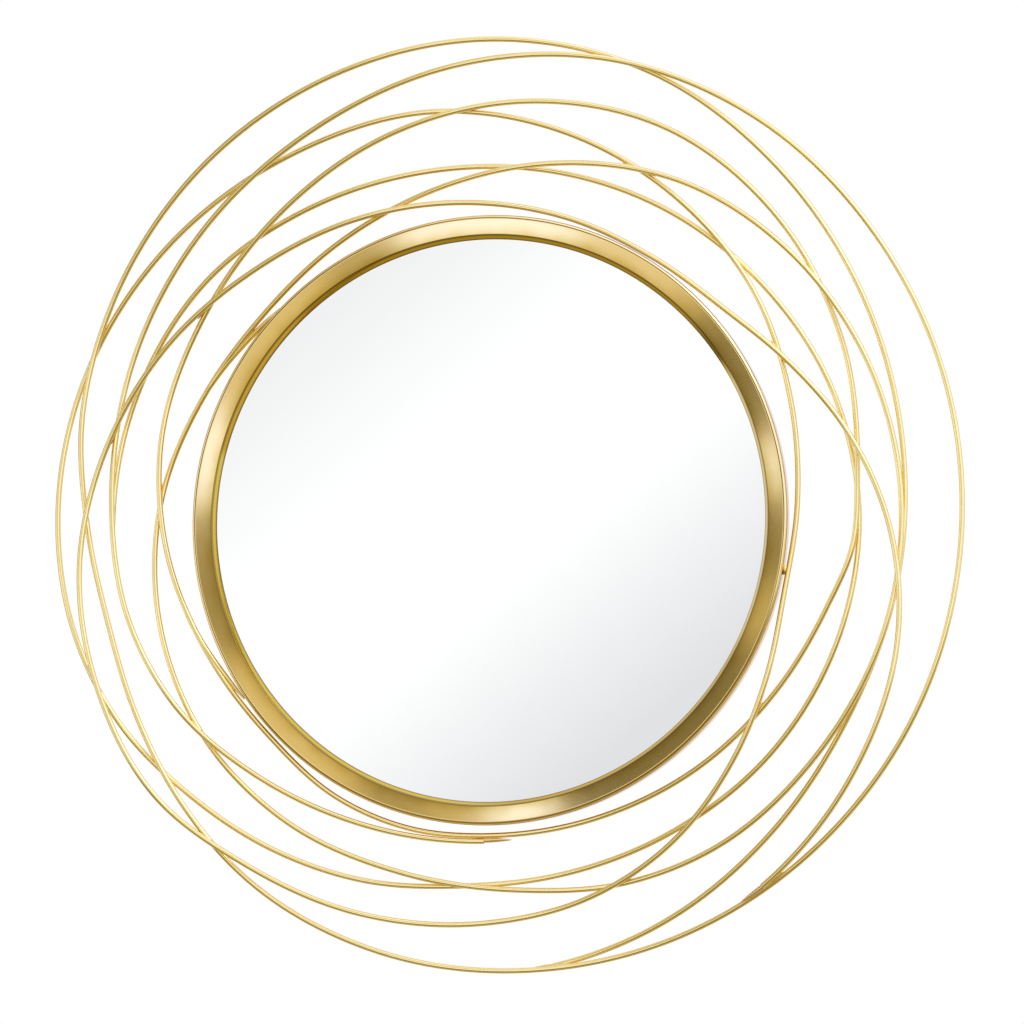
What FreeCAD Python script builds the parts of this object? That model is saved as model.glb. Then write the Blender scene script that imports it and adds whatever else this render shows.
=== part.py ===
"""A round wall mirror: a formed gold ring round the glass, and a spray of seven long
wires wound round the ring.

Millimetres. +X is to the right and +Z up for someone who faces the mirror, and +Y goes
into the wall. The origin is the middle of the wall plane, which the four bumpers touch, so
everything else has a negative y.
"""
import FreeCAD, Part
import math
import os
import re
import Sketcher

# Driving sizes

SIZES = (
    ("wall_gap", 3.0, "from the ring's rear edge to the wall"),
    ("cut_overrun", 1.0, "how far a cutting shape runs past the face that it cuts"),
    ("seat_gap", 0.1, "between pieces that are laid against each other"),
    ("frame_radius", 262.0, "outside of the ring's wall"),
    ("frame_depth", 25.0, "front edge of the ring to its rear edge"),
    ("frame_sheet", 1.5, "thickness of the formed sheet"),
    ("frame_roll", 3.0, "radius of the roll between the face and the wall"),
    ("frame_crease", 0.8, "radius where the bevel meets the face"),
    ("face_width", 20.6, "outside of the ring to the edge of the glass that shows"),
    ("face_drop", 2.9, "how far the face slopes back from its outer to its inner edge"),
    ("bevel_width", 3.8, "width of the steep inner bevel, seen from the front"),
    ("bevel_foot", 1.9, "width of the bevel's foot on the glass"),
    ("bevel_heel", 0.8, "how far the back of the sheet stands out from the bevel's crease"),
    ("glass_setback", 7.9, "front edge of the ring to the glass"),
    ("glass_overlap", 10.6, "how far the glass runs on behind the bevel"),
    ("glass_thickness", 4.0, "float glass, silvered on the back"),
    ("glass_arris", 0.6, "ground edge of the glass"),
    ("tape_thickness", 1.0, "foam tape between the glass and the board"),
    ("tape_width", 20.0, ""),
    ("tape_margin", 14.0, "from a strip's end to the edge of the glass"),
    ("tape_count", 5, ""),
    ("board_thickness", 6.0, ""),
    ("board_clearance", 0.5, "between the board's edge and the ring's wall"),
    ("board_arris", 0.5, "broken edge of the board"),
    ("lug_count", 8, ""),
    ("lug_width", 14.0, ""),
    ("lug_thickness", 1.5, ""),
    ("lug_leg", 13.0, "length of the leg over the board"),
    ("lug_foot", 5.5, "length of the foot along the ring's wall"),
    ("lug_hole_inset", 5.5, "end of the leg to its hole"),
    ("screw_shank_radius", 1.6, ""),
    ("screw_clearance", 0.1, "round the shank and under its point"),
    ("screw_head_radius", 3.2, ""),
    ("screw_head_height", 2.0, ""),
    ("screw_head_crown", 0.7, "rounding of the head's edge"),
    ("screw_length", 5.2, "under the head"),
    ("screw_tip", 1.4, "length of the point"),
    ("screw_recess_width", 0.9, "width of one arm of the cross recess"),
    ("screw_recess_length", 3.8, ""),
    ("screw_recess_depth", 1.1, ""),
    ("hanger_inset", 48.0, "edge of the board to the middle of a hanging ring's bar"),
    ("hanger_angle", 45.0, "degrees of the hanging rings above the level through the middle"),
    ("strap_width", 12.0, ""),
    ("strap_thickness", 1.2, ""),
    ("strap_length", 21.5, "from the ring's bar to the strap's end"),
    ("strap_first_hole", 9.0, "from the ring's bar"),
    ("strap_hole_pitch", 8.0, ""),
    ("hanger_wire_radius", 1.5, ""),
    ("hanger_clearance", 0.05, "round the ring's bar in the strap's eye"),
    ("hanger_half_width", 13.5, "half of the ring's width, on its wire's centre line"),
    ("hanger_corner", 4.0, "bend at the ends of the bar"),
    ("hanger_leg", 6.0, "straight sides of the ring"),
    ("bumper_radius", 8.0, ""),
    ("bumper_tip_radius", 6.5, "flat that touches the wall"),
    ("bumper_edge", 2.0, "height of the bumper's sloping edge"),
    ("bumper_inset", 28.0, "edge of the board to the middle of a bumper"),
    ("bumper_angle", 30.0, "degrees above and below the level through the middle"),
    ("spray_width", 138.0, "from the ring's wall to the edge of the spray"),
    ("wire_diameter", 4.8, ""),
    ("wire_gap", 0.2, "between wires where one lies on another"),
    ("wire_setback", 4.4, "front edge of the ring to the axis of the front layer"),
    ("stub_radius", 1.8, "welded stubs from the ring to the wires"),
    ("stub_gap", 0.15, "between a stub and what it is welded to"),
)
DISTINCT_NAMES = re.compile(r"\b([a-z]+(?:_[a-z]+)+)\b")

# Levels from the wall to the front, as sums of the sizes

RING_FRONT = "(-wall_gap - frame_depth)"
GLASS_FRONT = "(%s + glass_setback)" % RING_FRONT
TAPE_FRONT = "(%s + glass_thickness)" % GLASS_FRONT
BOARD_FRONT = "(%s + tape_thickness)" % TAPE_FRONT
BOARD_BACK = "(%s + board_thickness)" % BOARD_FRONT
EYE_RADIUS = "(hanger_wire_radius + hanger_clearance + strap_thickness)"
EYE_DEPTH = "(%s + %s)" % (BOARD_BACK, EYE_RADIUS)

# Radii

SIGHT_RADIUS = "(frame_radius - face_width)"
GLASS_RADIUS = "(%s + glass_overlap)" % SIGHT_RADIUS
BOARD_RADIUS = "(frame_radius - frame_sheet - board_clearance)"
LUG_SEAT = "(sqrt((frame_radius - frame_sheet)^2 - (lug_width / 2)^2) - seat_gap)"
LUG_HOLE_CIRCLE = "(%s - lug_leg + lug_hole_inset)" % LUG_SEAT
BUMPER_CIRCLE = "(%s - bumper_inset)" % BOARD_RADIUS
HANGER_ACROSS = "((%s - hanger_inset) * cos(hanger_angle))" % BOARD_RADIUS
HANGER_UP = "((%s - hanger_inset) * sin(hanger_angle))" % BOARD_RADIUS
HALF_LUG_STEP = "(180 / lug_count)"

# Routes of the seven wires

# Angles are in degrees, clockwise from three o'clock for someone who faces the mirror.
# Each row gives an angle where the bend was chosen, and there the wire's distance from the
# ring, from 0 where it touches the ring's wall to 1 with its axis at the spray's edge.
INNER_LOOP_SHARES = (
    (-5, 0.427), (5, 0.395), (15, 0.300), (30, 0.206), (50, 0.123), (70, 0.061), (90, 0.041),
    (105, 0.058), (120, 0.052), (137, 0.017), (155, 0.058), (175, 0.162), (195, 0.268),
    (215, 0.342), (235, 0.457), (255, 0.599), (275, 0.714), (295, 0.764), (315, 0.693),
    (335, 0.566),
)
MIDDLE_LOOP_SHARES = (
    (-5, 0.705), (15, 0.702), (35, 0.649), (55, 0.596), (70, 0.508), (85, 0.398), (105, 0.342),
    (125, 0.356), (145, 0.351), (165, 0.297), (185, 0.209), (205, 0.094), (220, 0.049),
    (240, 0.085), (260, 0.185), (280, 0.339), (300, 0.504), (320, 0.608), (340, 0.678),
)
OUTER_WIND_SHARES = (
    (91, 0.079), (105, 0.103), (120, 0.162), (135, 0.259), (150, 0.389), (165, 0.477),
    (185, 0.531), (205, 0.613), (225, 0.705), (245, 0.808), (265, 0.947), (285, 1.059),
    (305, 1.100), (325, 1.102), (345, 1.106), (365, 1.094), (385, 1.071), (405, 1.021),
    (425, 0.965), (442, 0.914), (465, 0.861), (485, 0.799), (500, 0.717), (513, 0.652),
    (527, 0.622), (540, 0.684), (555, 0.814), (570, 0.908), (590, 1.015), (610, 1.083),
    (630, 1.106), (650, 1.056), (670, 0.929), (690, 0.820), (710, 0.743), (730, 0.702),
    (750, 0.684), (768, 0.743), (785, 0.826), (802, 0.894),
)
GREAT_WIND_SHARES = (
    (182, 0.528), (200, 0.519), (220, 0.483), (240, 0.386), (260, 0.315), (280, 0.294),
    (300, 0.303), (320, 0.331), (340, 0.386), (360, 0.421), (380, 0.418), (400, 0.392),
    (420, 0.348), (440, 0.336), (455, 0.362), (470, 0.457), (485, 0.554), (500, 0.661),
    (513, 0.780), (527, 0.861), (543, 0.891), (560, 0.879), (580, 0.823), (600, 0.749),
    (622, 0.681), (640, 0.557), (660, 0.407), (680, 0.268), (700, 0.120), (718, 0.038),
    (735, 0.017), (750, 0.114), (765, 0.259), (780, 0.418), (795, 0.531), (810, 0.594),
    (830, 0.669), (847, 0.728), (862, 0.819), (878, 0.802), (895, 0.733), (912, 0.593),
    (930, 0.429), (946, 0.280), (965, 0.165), (985, 0.073), (1005, 0.020), (1023, 0.004),
    (1040, 0.061), (1053, 0.206), (1067, 0.418), (1082, 0.640), (1097, 0.809), (1115, 0.917),
    (1133, 0.982),
)

# How far back a wire lies, at a few angles, as a share of one layer of wires: 0 in front.
# Between them it goes steadily from one to the other, so that wires cross with a touch.
INNER_LOOP_DEPTH_SHARES = ((-5, 1.5), (40, 1.42), (195, 0.88), (335, 1.55), (355, 1.5))
MIDDLE_LOOP_DEPTH_SHARES = (
    (-5, 0.93), (75, 1.33), (185, 1.95), (315, 0.4), (335, 0.6), (355, 0.93),
)
OUTER_WIND_DEPTH_SHARES = (
    (91, 0.3), (190, 1.0), (305, 0.84), (504, 1.5), (565, 1.52), (802, 2.5),
)
GREAT_WIND_DEPTH_SHARES = ((182, 2.5), (605, 2.5), (745, 0.45), (895, 0.0), (1133, 0.0))

# Node, route, depths, first and last angle. A loop has no ends: it is bent round and closed
# by a butt weld. The two winds are made of wires of about one turn each, laid end to end.
WIRES = (
    ("wire_inner_loop", INNER_LOOP_SHARES, INNER_LOOP_DEPTH_SHARES, None),
    ("wire_middle_loop", MIDDLE_LOOP_SHARES, MIDDLE_LOOP_DEPTH_SHARES, None),
    ("wire_outer_wind_start", OUTER_WIND_SHARES, OUTER_WIND_DEPTH_SHARES, (91, 442)),
    ("wire_outer_wind_end", OUTER_WIND_SHARES, OUTER_WIND_DEPTH_SHARES, (442, 802)),
    ("wire_long_wind_start", GREAT_WIND_SHARES, GREAT_WIND_DEPTH_SHARES, (182, 543)),
    ("wire_long_wind_middle", GREAT_WIND_SHARES, GREAT_WIND_DEPTH_SHARES, (543, 878)),
    ("wire_long_wind_end", GREAT_WIND_SHARES, GREAT_WIND_DEPTH_SHARES, (878, 1133)),
)

# Short welded stubs between the ring's wall and the wires. Each row gives the angles of a
# stub's foot on the ring and of its head under the wire, and the wire's two shares at the
# head. A stub with two angles leans: it lies in the nip between the wire and the wall.
STUBS = (
    (147, 157, 0.066, 1.01),
    (222, 212, 0.067, 1.63),
    (10.4, 10.4, 0.0108, 0.66),
)

doc = FreeCAD.newDocument("round_mirror")
sheet = doc.addObject("Spreadsheet::Sheet", "sizes")
for row, (alias, value, note) in enumerate(SIZES, start=1):
    sheet.set("A%d" % row, alias)
    sheet.set("B%d" % row, str(value))
    sheet.set("C%d" % row, note)
    sheet.setAlias("B%d" % row, alias)
doc.recompute()


def bound(text):
    """The same sum of sizes, as an expression that reads the sheet."""
    return DISTINCT_NAMES.sub(r"sizes.\1", text)


def size(text):
    """What a sum of sizes comes to."""
    return float(sheet.evalExpression(bound(text)))


def vector(x, y, z):
    return FreeCAD.Vector(x, y, z)


# Helpers for made pieces


def bind(thing, **places):
    """Binds properties of an object to sums of sizes: a double underscore stands for a dot."""
    for place, text in places.items():
        thing.setExpression(place.replace("__", "."), bound(text))


def put(thing, x="0", y="0", z="0"):
    """Binds where an object stands."""
    bind(thing, Placement__Base__x=x, Placement__Base__y=y, Placement__Base__z=z)


def origin_plane(body, role):
    return next(item for item in body.Origin.OriginFeatures if item.Role == role)


def place_point(sketch, edge, end, across, up):
    """Holds a point of a sketch at sums of sizes, or on an axis."""
    for kind, text, axis in (("DistanceX", across, -2), ("DistanceY", up, -1)):
        if text == "0":
            sketch.addConstraint(Sketcher.Constraint("PointOnObject", edge, end, axis))
            continue
        value = size(text)
        number = sketch.addConstraint(Sketcher.Constraint(kind, -1, 1, edge, end, value))
        sketch.setExpression("Constraints[%d]" % number, bound(text))


def turned(name, corners, level):
    """A body turned about the depth axis from corners of (radius, depth behind its level)."""
    body = doc.addObject("PartDesign::Body", name)
    sketch = body.newObject("Sketcher::SketchObject", name + "_section")
    sketch.AttachmentSupport = (origin_plane(body, "XY_Plane"), [""])
    sketch.MapMode = "FlatFace"
    points = [vector(size(radius), size(depth), 0) for radius, depth in corners]
    for number, point in enumerate(points):
        after = points[(number + 1) % len(points)]
        sketch.addGeometry(Part.LineSegment(point, after), False)
    for number in range(len(points)):
        after = (number + 1) % len(points)
        sketch.addConstraint(Sketcher.Constraint("Coincident", number, 2, after, 1))
    for number, (radius, depth) in enumerate(corners):
        place_point(sketch, number, 1, radius, depth)
    turn = body.newObject("PartDesign::Revolution", name + "_turn")
    turn.Profile = sketch
    turn.ReferenceAxis = (sketch, ["V_Axis"])
    put(body, y=level)
    doc.recompute()
    return body


def round_edges(shape, radius, depth):
    """Names of a turned shape's round edges at a radius and a depth."""
    found = []
    for number, edge in enumerate(shape.Edges, start=1):
        start = edge.Vertexes[0].Point
        off_radius = round(math.hypot(start.x, start.z) - radius, 6)
        off_depth = round(start.y - depth, 6)
        if isinstance(edge.Curve, Part.Circle) and off_radius == 0 and off_depth == 0:
            found.append("Edge%d" % number)
    return found


def rounded(body, name, radius, depth, fillet):
    """Rounds the round edge of a turned body that lies at a radius and a depth."""
    before = body.Tip
    feature = body.newObject("PartDesign::Fillet", name)
    feature.Base = (before, round_edges(before.Shape, size(radius), size(depth)))
    feature.Radius = size(fillet)
    bind(feature, Radius=fillet)
    doc.recompute()


def holes(body, name, hole_radius, depth, spots):
    """Blind round holes into the rear face of the board, at sums for (across, up)."""
    sketch = body.newObject("Sketcher::SketchObject", name + "_plan")
    sketch.AttachmentSupport = (origin_plane(body, "XZ_Plane"), [""])
    sketch.MapMode = "FlatFace"
    bind(sketch, AttachmentOffset__Base__z="-board_thickness")
    for number, (across, up) in enumerate(spots):
        middle = vector(size(across), size(up), 0)
        circle = Part.Circle(middle, vector(0, 0, 1), size(hole_radius))
        sketch.addGeometry(circle, False)
        place_point(sketch, number, 3, across, up)
        width = Sketcher.Constraint("Radius", number, size(hole_radius))
        held = sketch.addConstraint(width)
        sketch.setExpression("Constraints[%d]" % held, bound(hole_radius))
    pocket = body.newObject("PartDesign::Pocket", name)
    pocket.Profile = sketch
    pocket.Reversed = True
    bind(pocket, Length=depth)
    doc.recompute()
    return pocket


def box(name, x, y, z, length, width, height):
    made = doc.addObject("Part::Box", name)
    bind(made, Length=length, Width=width, Height=height)
    put(made, x, y, z)
    return made


def rod(name, x, y, z, radius, height, direction):
    """A cylinder that stands on (x, y, z) and runs along a direction."""
    made = doc.addObject("Part::Cylinder", name)
    made.Placement.Rotation = FreeCAD.Rotation(vector(0, 0, 1), direction)
    bind(made, Radius=radius, Height=height)
    put(made, x, y, z)
    return made


def joined(name, *pieces):
    made = doc.addObject("Part::MultiFuse", name)
    made.Shapes = list(pieces)
    return made


def cut(name, base, tool):
    made = doc.addObject("Part::Cut", name)
    made.Base = base
    made.Tool = tool
    return made


def group(name, shapes):
    """One node of separate solids."""
    made = doc.addObject("Part::Feature", name)
    made.Shape = Part.makeCompound(shapes)
    return made


def moved(shape, x, y, z, turn=0.0):
    """A copy of a shape, turned about the depth axis and then moved."""
    copy = shape.copy()
    copy.rotate(vector(0, 0, 0), vector(0, 1, 0), turn)
    copy.translate(vector(x, y, z))
    return copy


# Helpers for wires


def steady(table, angle):
    """The value that a table of (angle, value) rows gives at an angle, by straight lines."""
    for (low, first), (high, second) in zip(table, table[1:]):
        if angle <= high:
            return first + (second - first) * (angle - low) / (high - low)
    return table[-1][1]


def wire_radius_at(share):
    """The distance of a wire's axis from the mirror's middle."""
    touching = size("wire_diameter / 2 + seat_gap")
    return size("frame_radius") + touching + share * (size("spray_width") - touching)


def wire_depth_at(share):
    """The level of a wire's axis."""
    return size("%s + wire_setback" % RING_FRONT) + share * size("wire_diameter + wire_gap")


def round_point(angle, radius, level):
    """A point at an angle and a radius round the mirror."""
    turn = math.radians(angle)
    return vector(radius * math.cos(turn), level, -radius * math.sin(turn))


def wire_point(angle, share, depth_share):
    """A point of a wire's axis, from its angle and its two shares."""
    return round_point(angle, wire_radius_at(share), wire_depth_at(depth_share))


def middle_tangent(before, point, after):
    """The direction at a point of the circle through it and its two neighbours."""
    back = point - before
    ahead = after - point
    return (back / back.Length ** 2 + ahead / ahead.Length ** 2).normalize()


def end_tangent(end, inner, inner_tangent):
    """The direction at an end, so that one arc joins it to the next point."""
    chord = (inner - end).normalize()
    return chord * (2 * inner_tangent.dot(chord)) - inner_tangent


def directions(points, closed):
    """The direction of a route at each of its points."""
    count = len(points)
    found = [None] * count
    for place in range(count):
        if closed or 0 < place < count - 1:
            after = points[(place + 1) % count]
            found[place] = middle_tangent(points[place - 1], points[place], after)
    if not closed:
        found[0] = end_tangent(points[0], points[1], found[1])
        found[-1] = end_tangent(points[-1], points[-2], found[-2])
    return found


def arc_edge(start, corner, end):
    """An arc that leaves start towards corner and comes to end from it."""
    chord_middle = (start + end) / 2
    half_chord = (end - start).Length / 2
    side = (corner - start).Length
    crown = chord_middle + (corner - chord_middle) * (half_chord / (half_chord + side))
    return Part.Arc(start, crown, end).toShape()


def pair_of_arcs(start, leave, end, arrive):
    """Two tangent arcs from start to end that leave and arrive in the given directions."""
    span = end - start
    bend = 2 * (1 - leave.dot(arrive))
    along = span.dot(leave + arrive)
    reach = (math.sqrt(along ** 2 + bend * span.dot(span)) - along) / bend
    first_corner = start + leave * reach
    second_corner = end - arrive * reach
    join = (first_corner + second_corner) / 2
    return [arc_edge(start, first_corner, join), arc_edge(join, second_corner, end)]


def axis_edges(points, tangents, closed):
    edges = []
    last = len(points) if closed else len(points) - 1
    for place in range(last):
        after = (place + 1) % len(points)
        edges += pair_of_arcs(points[place], tangents[place], points[after], tangents[after])
    return edges


def swept(edges, radius):
    """A round wire along an open run of tangent edges."""
    first = edges[0]
    start = first.valueAt(first.FirstParameter)
    direction = first.tangentAt(first.FirstParameter)
    section = Part.Wire(Part.makeCircle(radius, start, direction))
    return Part.Wire(edges).makePipeShell([section], True, False)


def swept_ring(edges, radius):
    """A round wire along a closed run, swept in two halves that are joined."""
    half = len(edges) // 2
    halves = swept(edges[:half], radius).fuse(swept(edges[half:], radius))
    return halves.Solids[0]


def report_sweep(name, shape, edges, radius):
    length = sum(edge.Length for edge in edges)
    bends = [edge.Curve.Radius for edge in edges if isinstance(edge.Curve, Part.Circle)]
    share = shape.Volume / (length * math.pi * radius ** 2)
    print("%-24s length %.0f, tightest bend %.0f, volume %.4f of section times length"
          % (name, length, min(bends), share))


def spray_wire(name, shares, depths, span):
    """The solid of one wire of the spray."""
    closed = span is None
    points = [wire_point(angle, share, steady(depths, angle)) for angle, share in shares]
    tangents = directions(points, closed)
    if not closed:
        kept = [n for n, (angle, share) in enumerate(shares) if span[0] <= angle <= span[1]]
        points = [points[n] for n in kept]
        tangents = [tangents[n] for n in kept]
    edges = axis_edges(points, tangents, closed)
    radius = size("wire_diameter / 2")
    shape = swept_ring(edges, radius) if closed else swept(edges, radius)
    report_sweep(name, shape, edges, radius)
    wire = doc.addObject("Part::Feature", name)
    wire.Shape = shape
    return wire


# Pieces of the mirror


def make_frame_ring():
    """One ring of formed sheet: wall, rolled edge, sloping face and steep inner bevel."""
    crease = "(%s + bevel_width)" % SIGHT_RADIUS
    foot = "(glass_setback - seat_gap)"
    body = turned("frame_ring", (
        (SIGHT_RADIUS, foot),
        (crease, "face_drop"),
        ("frame_radius", "0"),
        ("frame_radius", "frame_depth"),
        ("(frame_radius - frame_sheet)", "frame_depth"),
        ("(frame_radius - frame_sheet)", "frame_sheet"),
        ("(%s + bevel_heel)" % crease, "(face_drop + frame_sheet)"),
        ("(%s + bevel_foot)" % SIGHT_RADIUS, foot),
    ), RING_FRONT)
    rounded(body, "outer_roll", "frame_radius", "0", "frame_roll")
    rounded(body, "inner_roll", "frame_radius - frame_sheet", "frame_sheet",
            "frame_roll - frame_sheet")
    rounded(body, "face_crease", crease, "face_drop", "frame_crease")
    return body


def make_mirror_glass():
    """A round pane with a ground arris front and back."""
    inner = "(%s - glass_arris)" % GLASS_RADIUS
    return turned("mirror_glass", (
        ("0", "0"),
        (inner, "0"),
        (GLASS_RADIUS, "glass_arris"),
        (GLASS_RADIUS, "(glass_thickness - glass_arris)"),
        (inner, "glass_thickness"),
        ("0", "glass_thickness"),
    ), GLASS_FRONT)


def make_glass_tape():
    """Upright strips of foam tape that hold the glass to the board."""
    count = int(size("tape_count"))
    reach = size("%s - tape_margin" % GLASS_RADIUS)
    half_width = size("tape_width") / 2
    strips = []
    for number in range(count):
        across = 2 * reach * (number + 1) / (count + 1) - reach
        half_length = math.sqrt(reach ** 2 - (abs(across) + half_width) ** 2)
        corner = vector(across - half_width, size(TAPE_FRONT), -half_length)
        strips.append(Part.makeBox(
            2 * half_width, size("tape_thickness"), 2 * half_length, corner))
    return group("glass_tape", strips)


def lug_hole_spots():
    """Sums for the places of the holes under the lugs, as (across, up)."""
    spots = []
    for number in range(int(size("lug_count"))):
        turn = "(%s * %d)" % (HALF_LUG_STEP, 2 * number + 1)
        spots.append(("%s * cos(%s)" % (LUG_HOLE_CIRCLE, turn),
                      "%s * sin(%s)" % (LUG_HOLE_CIRCLE, turn)))
    return spots


def strap_hole_spots():
    """Sums for the places of the screws through the two straps, as (across, up)."""
    first = "%s - strap_first_hole" % HANGER_UP
    second = "%s - strap_hole_pitch" % first
    return [(across, up) for across in ("-" + HANGER_ACROSS, HANGER_ACROSS)
            for up in (first, second)]


def make_backing_board():
    """A disc of board, with blind pilot holes for all the screws in its rear face."""
    inner = "(%s - board_arris)" % BOARD_RADIUS
    body = turned("backing_board", (
        ("0", "0"),
        (inner, "0"),
        (BOARD_RADIUS, "board_arris"),
        (BOARD_RADIUS, "(board_thickness - board_arris)"),
        (inner, "board_thickness"),
        ("0", "board_thickness"),
    ), BOARD_FRONT)
    bore = "screw_shank_radius + screw_clearance"
    under_lug = "screw_length - lug_thickness + screw_clearance"
    under_strap = "screw_length - strap_thickness + screw_clearance"
    holes(body, "lug_pilot_holes", bore, under_lug, lug_hole_spots())
    holes(body, "strap_pilot_holes", bore, under_strap, strap_hole_spots())
    return body


def make_lug_pattern():
    """One bent lug, as it stands at three o'clock: a leg over the board and a welded foot."""
    leg = box("lug_leg_plate", "%s - lug_leg" % LUG_SEAT, "%s + seat_gap" % BOARD_BACK,
              "-lug_width / 2", "lug_leg", "lug_thickness", "lug_width")
    foot = box("lug_foot_plate", "%s - lug_thickness" % LUG_SEAT, "%s + seat_gap" % BOARD_BACK,
               "-lug_width / 2", "lug_thickness", "lug_foot", "lug_width")
    hole = rod("lug_hole", LUG_HOLE_CIRCLE, "%s - cut_overrun" % BOARD_BACK, "0",
               "screw_shank_radius + screw_clearance", "lug_thickness + 2 * cut_overrun",
               vector(0, 1, 0))
    return cut("lug_pattern", joined("lug_plates", leg, foot), hole)


def make_screw_pattern():
    """A pan-head screw along the depth axis, its head's underside at 0 and its point in front."""
    length = "screw_length"
    blank = turned("screw_blank", (
        ("0", "0"),
        ("screw_shank_radius", "screw_tip"),
        ("screw_shank_radius", length),
        ("screw_head_radius", length),
        ("screw_head_radius", "(screw_length + screw_head_height - screw_head_crown)"),
        ("(screw_head_radius - screw_head_crown)", "(screw_length + screw_head_height)"),
        ("0", "(screw_length + screw_head_height)"),
    ), "-screw_length")
    level = "screw_head_height - screw_recess_depth"
    deep = "screw_recess_depth + cut_overrun"
    upright = box("recess_upright", "-screw_recess_width / 2", level, "-screw_recess_length / 2",
                  "screw_recess_width", deep, "screw_recess_length")
    level_arm = box("recess_level", "-screw_recess_length / 2", level,
                    "-screw_recess_width / 2", "screw_recess_length", deep,
                    "screw_recess_width")
    return cut("screw_pattern", blank, joined("screw_recess", upright, level_arm))


def make_strap(name, side):
    """A strap folded round the hanging ring's bar, with two screw holes below the eye."""
    middle = HANGER_ACROSS if side > 0 else "-" + HANGER_ACROSS
    left = "%s - strap_width / 2" % middle
    plate_level = "%s + seat_gap" % BOARD_BACK
    plate_length = "strap_length - strap_width / 2"
    foot = "%s - (%s)" % (HANGER_UP, plate_length)
    plate = box(name + "_plate", left, plate_level, foot,
                "strap_width", "strap_thickness", plate_length)
    end = rod(name + "_end", middle, plate_level, foot,
              "strap_width / 2", "strap_thickness", vector(0, 1, 0))
    eye = rod(name + "_eye", left, "%s + seat_gap" % EYE_DEPTH, HANGER_UP, EYE_RADIUS,
              "strap_width", vector(1, 0, 0))
    bore = rod(name + "_bore", "%s - cut_overrun" % left, "%s + seat_gap" % EYE_DEPTH,
               HANGER_UP, "hanger_wire_radius + hanger_clearance",
               "strap_width + 2 * cut_overrun", vector(1, 0, 0))
    screw_holes = [
        rod("%s_hole_%d" % (name, number), across, "%s - cut_overrun" % BOARD_BACK, up,
            "screw_shank_radius + screw_clearance", "strap_thickness + 2 * cut_overrun",
            vector(0, 1, 0))
        for number, (across, up) in enumerate(strap_hole_spots())
        if size(across) * side > 0
    ]
    blank = joined(name + "_blank", plate, end, eye)
    return cut(name, blank, joined(name + "_holes", bore, *screw_holes))


def make_hanging_ring(name, side):
    """A D of round wire, hanging down from its bar in the strap's eye."""
    middle = side * size(HANGER_ACROSS)
    level = size("%s + seat_gap" % EYE_DEPTH)
    top = size(HANGER_UP)
    half = size("hanger_half_width")
    corner = size("hanger_corner")
    leg = size("hanger_leg")
    slant = corner * (1 - math.sqrt(0.5))

    def spot(across, down):
        return vector(middle + across, level, top - down)

    def corner_arc(hand, first, last):
        crown = spot(hand * (half - slant), slant)
        return Part.Arc(first, crown, last).toShape()

    bar_left, bar_right = spot(corner - half, 0), spot(half - corner, 0)
    leg_right, leg_left = spot(half, corner), spot(-half, corner)
    bow_right, bow_left = spot(half, corner + leg), spot(-half, corner + leg)
    edges = [
        Part.LineSegment(bar_left, bar_right).toShape(),
        corner_arc(1, bar_right, leg_right),
        Part.LineSegment(leg_right, bow_right).toShape(),
        Part.Arc(bow_right, spot(0, corner + leg + half), bow_left).toShape(),
        Part.LineSegment(bow_left, leg_left).toShape(),
        corner_arc(-1, leg_left, bar_left),
    ]
    radius = size("hanger_wire_radius")
    ring = doc.addObject("Part::Feature", name)
    ring.Shape = swept_ring(edges, radius)
    report_sweep(name, ring.Shape, edges, radius)
    return ring


def make_bumpers():
    """Four soft bumpers on the board, whose flat tips touch the wall."""
    height = "(-(%s) - seat_gap)" % BOARD_BACK
    pattern = turned("bumper_pattern", (
        ("0", "0"),
        ("bumper_radius", "0"),
        ("bumper_radius", "(%s - bumper_edge)" % height),
        ("bumper_tip_radius", height),
        ("0", height),
    ), "%s + seat_gap" % BOARD_BACK)
    circle = size(BUMPER_CIRCLE)
    half_turn = 180.0
    angle = size("bumper_angle")
    solids = []
    for degrees in (angle, half_turn - angle, half_turn + angle, -angle):
        turn = math.radians(degrees)
        solids.append(moved(pattern.Shape, circle * math.cos(turn), 0, circle * math.sin(turn)))
    return group("wall_bumpers", solids)


def make_wire_stubs():
    """Short rods welded between the ring's wall and the wires that pass near it."""
    thick = size("stub_radius")
    solids = []
    for foot_angle, head_angle, share, depth_share in STUBS:
        room = size("stub_gap") + (0 if foot_angle == head_angle else thick)
        level = wire_depth_at(depth_share)
        under_wire = wire_radius_at(share) - size("wire_diameter / 2")
        foot = round_point(foot_angle, size("frame_radius") + room, level)
        run = round_point(head_angle, under_wire - room, level) - foot
        solids.append(Part.makeCylinder(thick, run.Length, foot, run))
    return group("wire_stubs", solids)


nodes = [make_frame_ring(), make_mirror_glass(), make_glass_tape(), make_backing_board()]
lug_pattern = make_lug_pattern()
screw_pattern = make_screw_pattern()
doc.recompute()

lug_step = size("2 * %s" % HALF_LUG_STEP)
lug_turns = [lug_step * (number + 0.5) for number in range(int(size("lug_count")))]
nodes.append(group("frame_lugs", [
    moved(lug_pattern.Shape, 0, 0, 0, turn) for turn in lug_turns]))

lug_back = size("%s + seat_gap + lug_thickness" % BOARD_BACK)
nodes.append(group("lug_screws", [
    moved(screw_pattern.Shape, size(across), lug_back, size(up))
    for across, up in lug_hole_spots()]))

nodes.append(make_strap("hanger_strap_left", -1))
nodes.append(make_strap("hanger_strap_right", 1))
nodes.append(make_hanging_ring("hanging_ring_left", -1))
nodes.append(make_hanging_ring("hanging_ring_right", 1))

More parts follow.
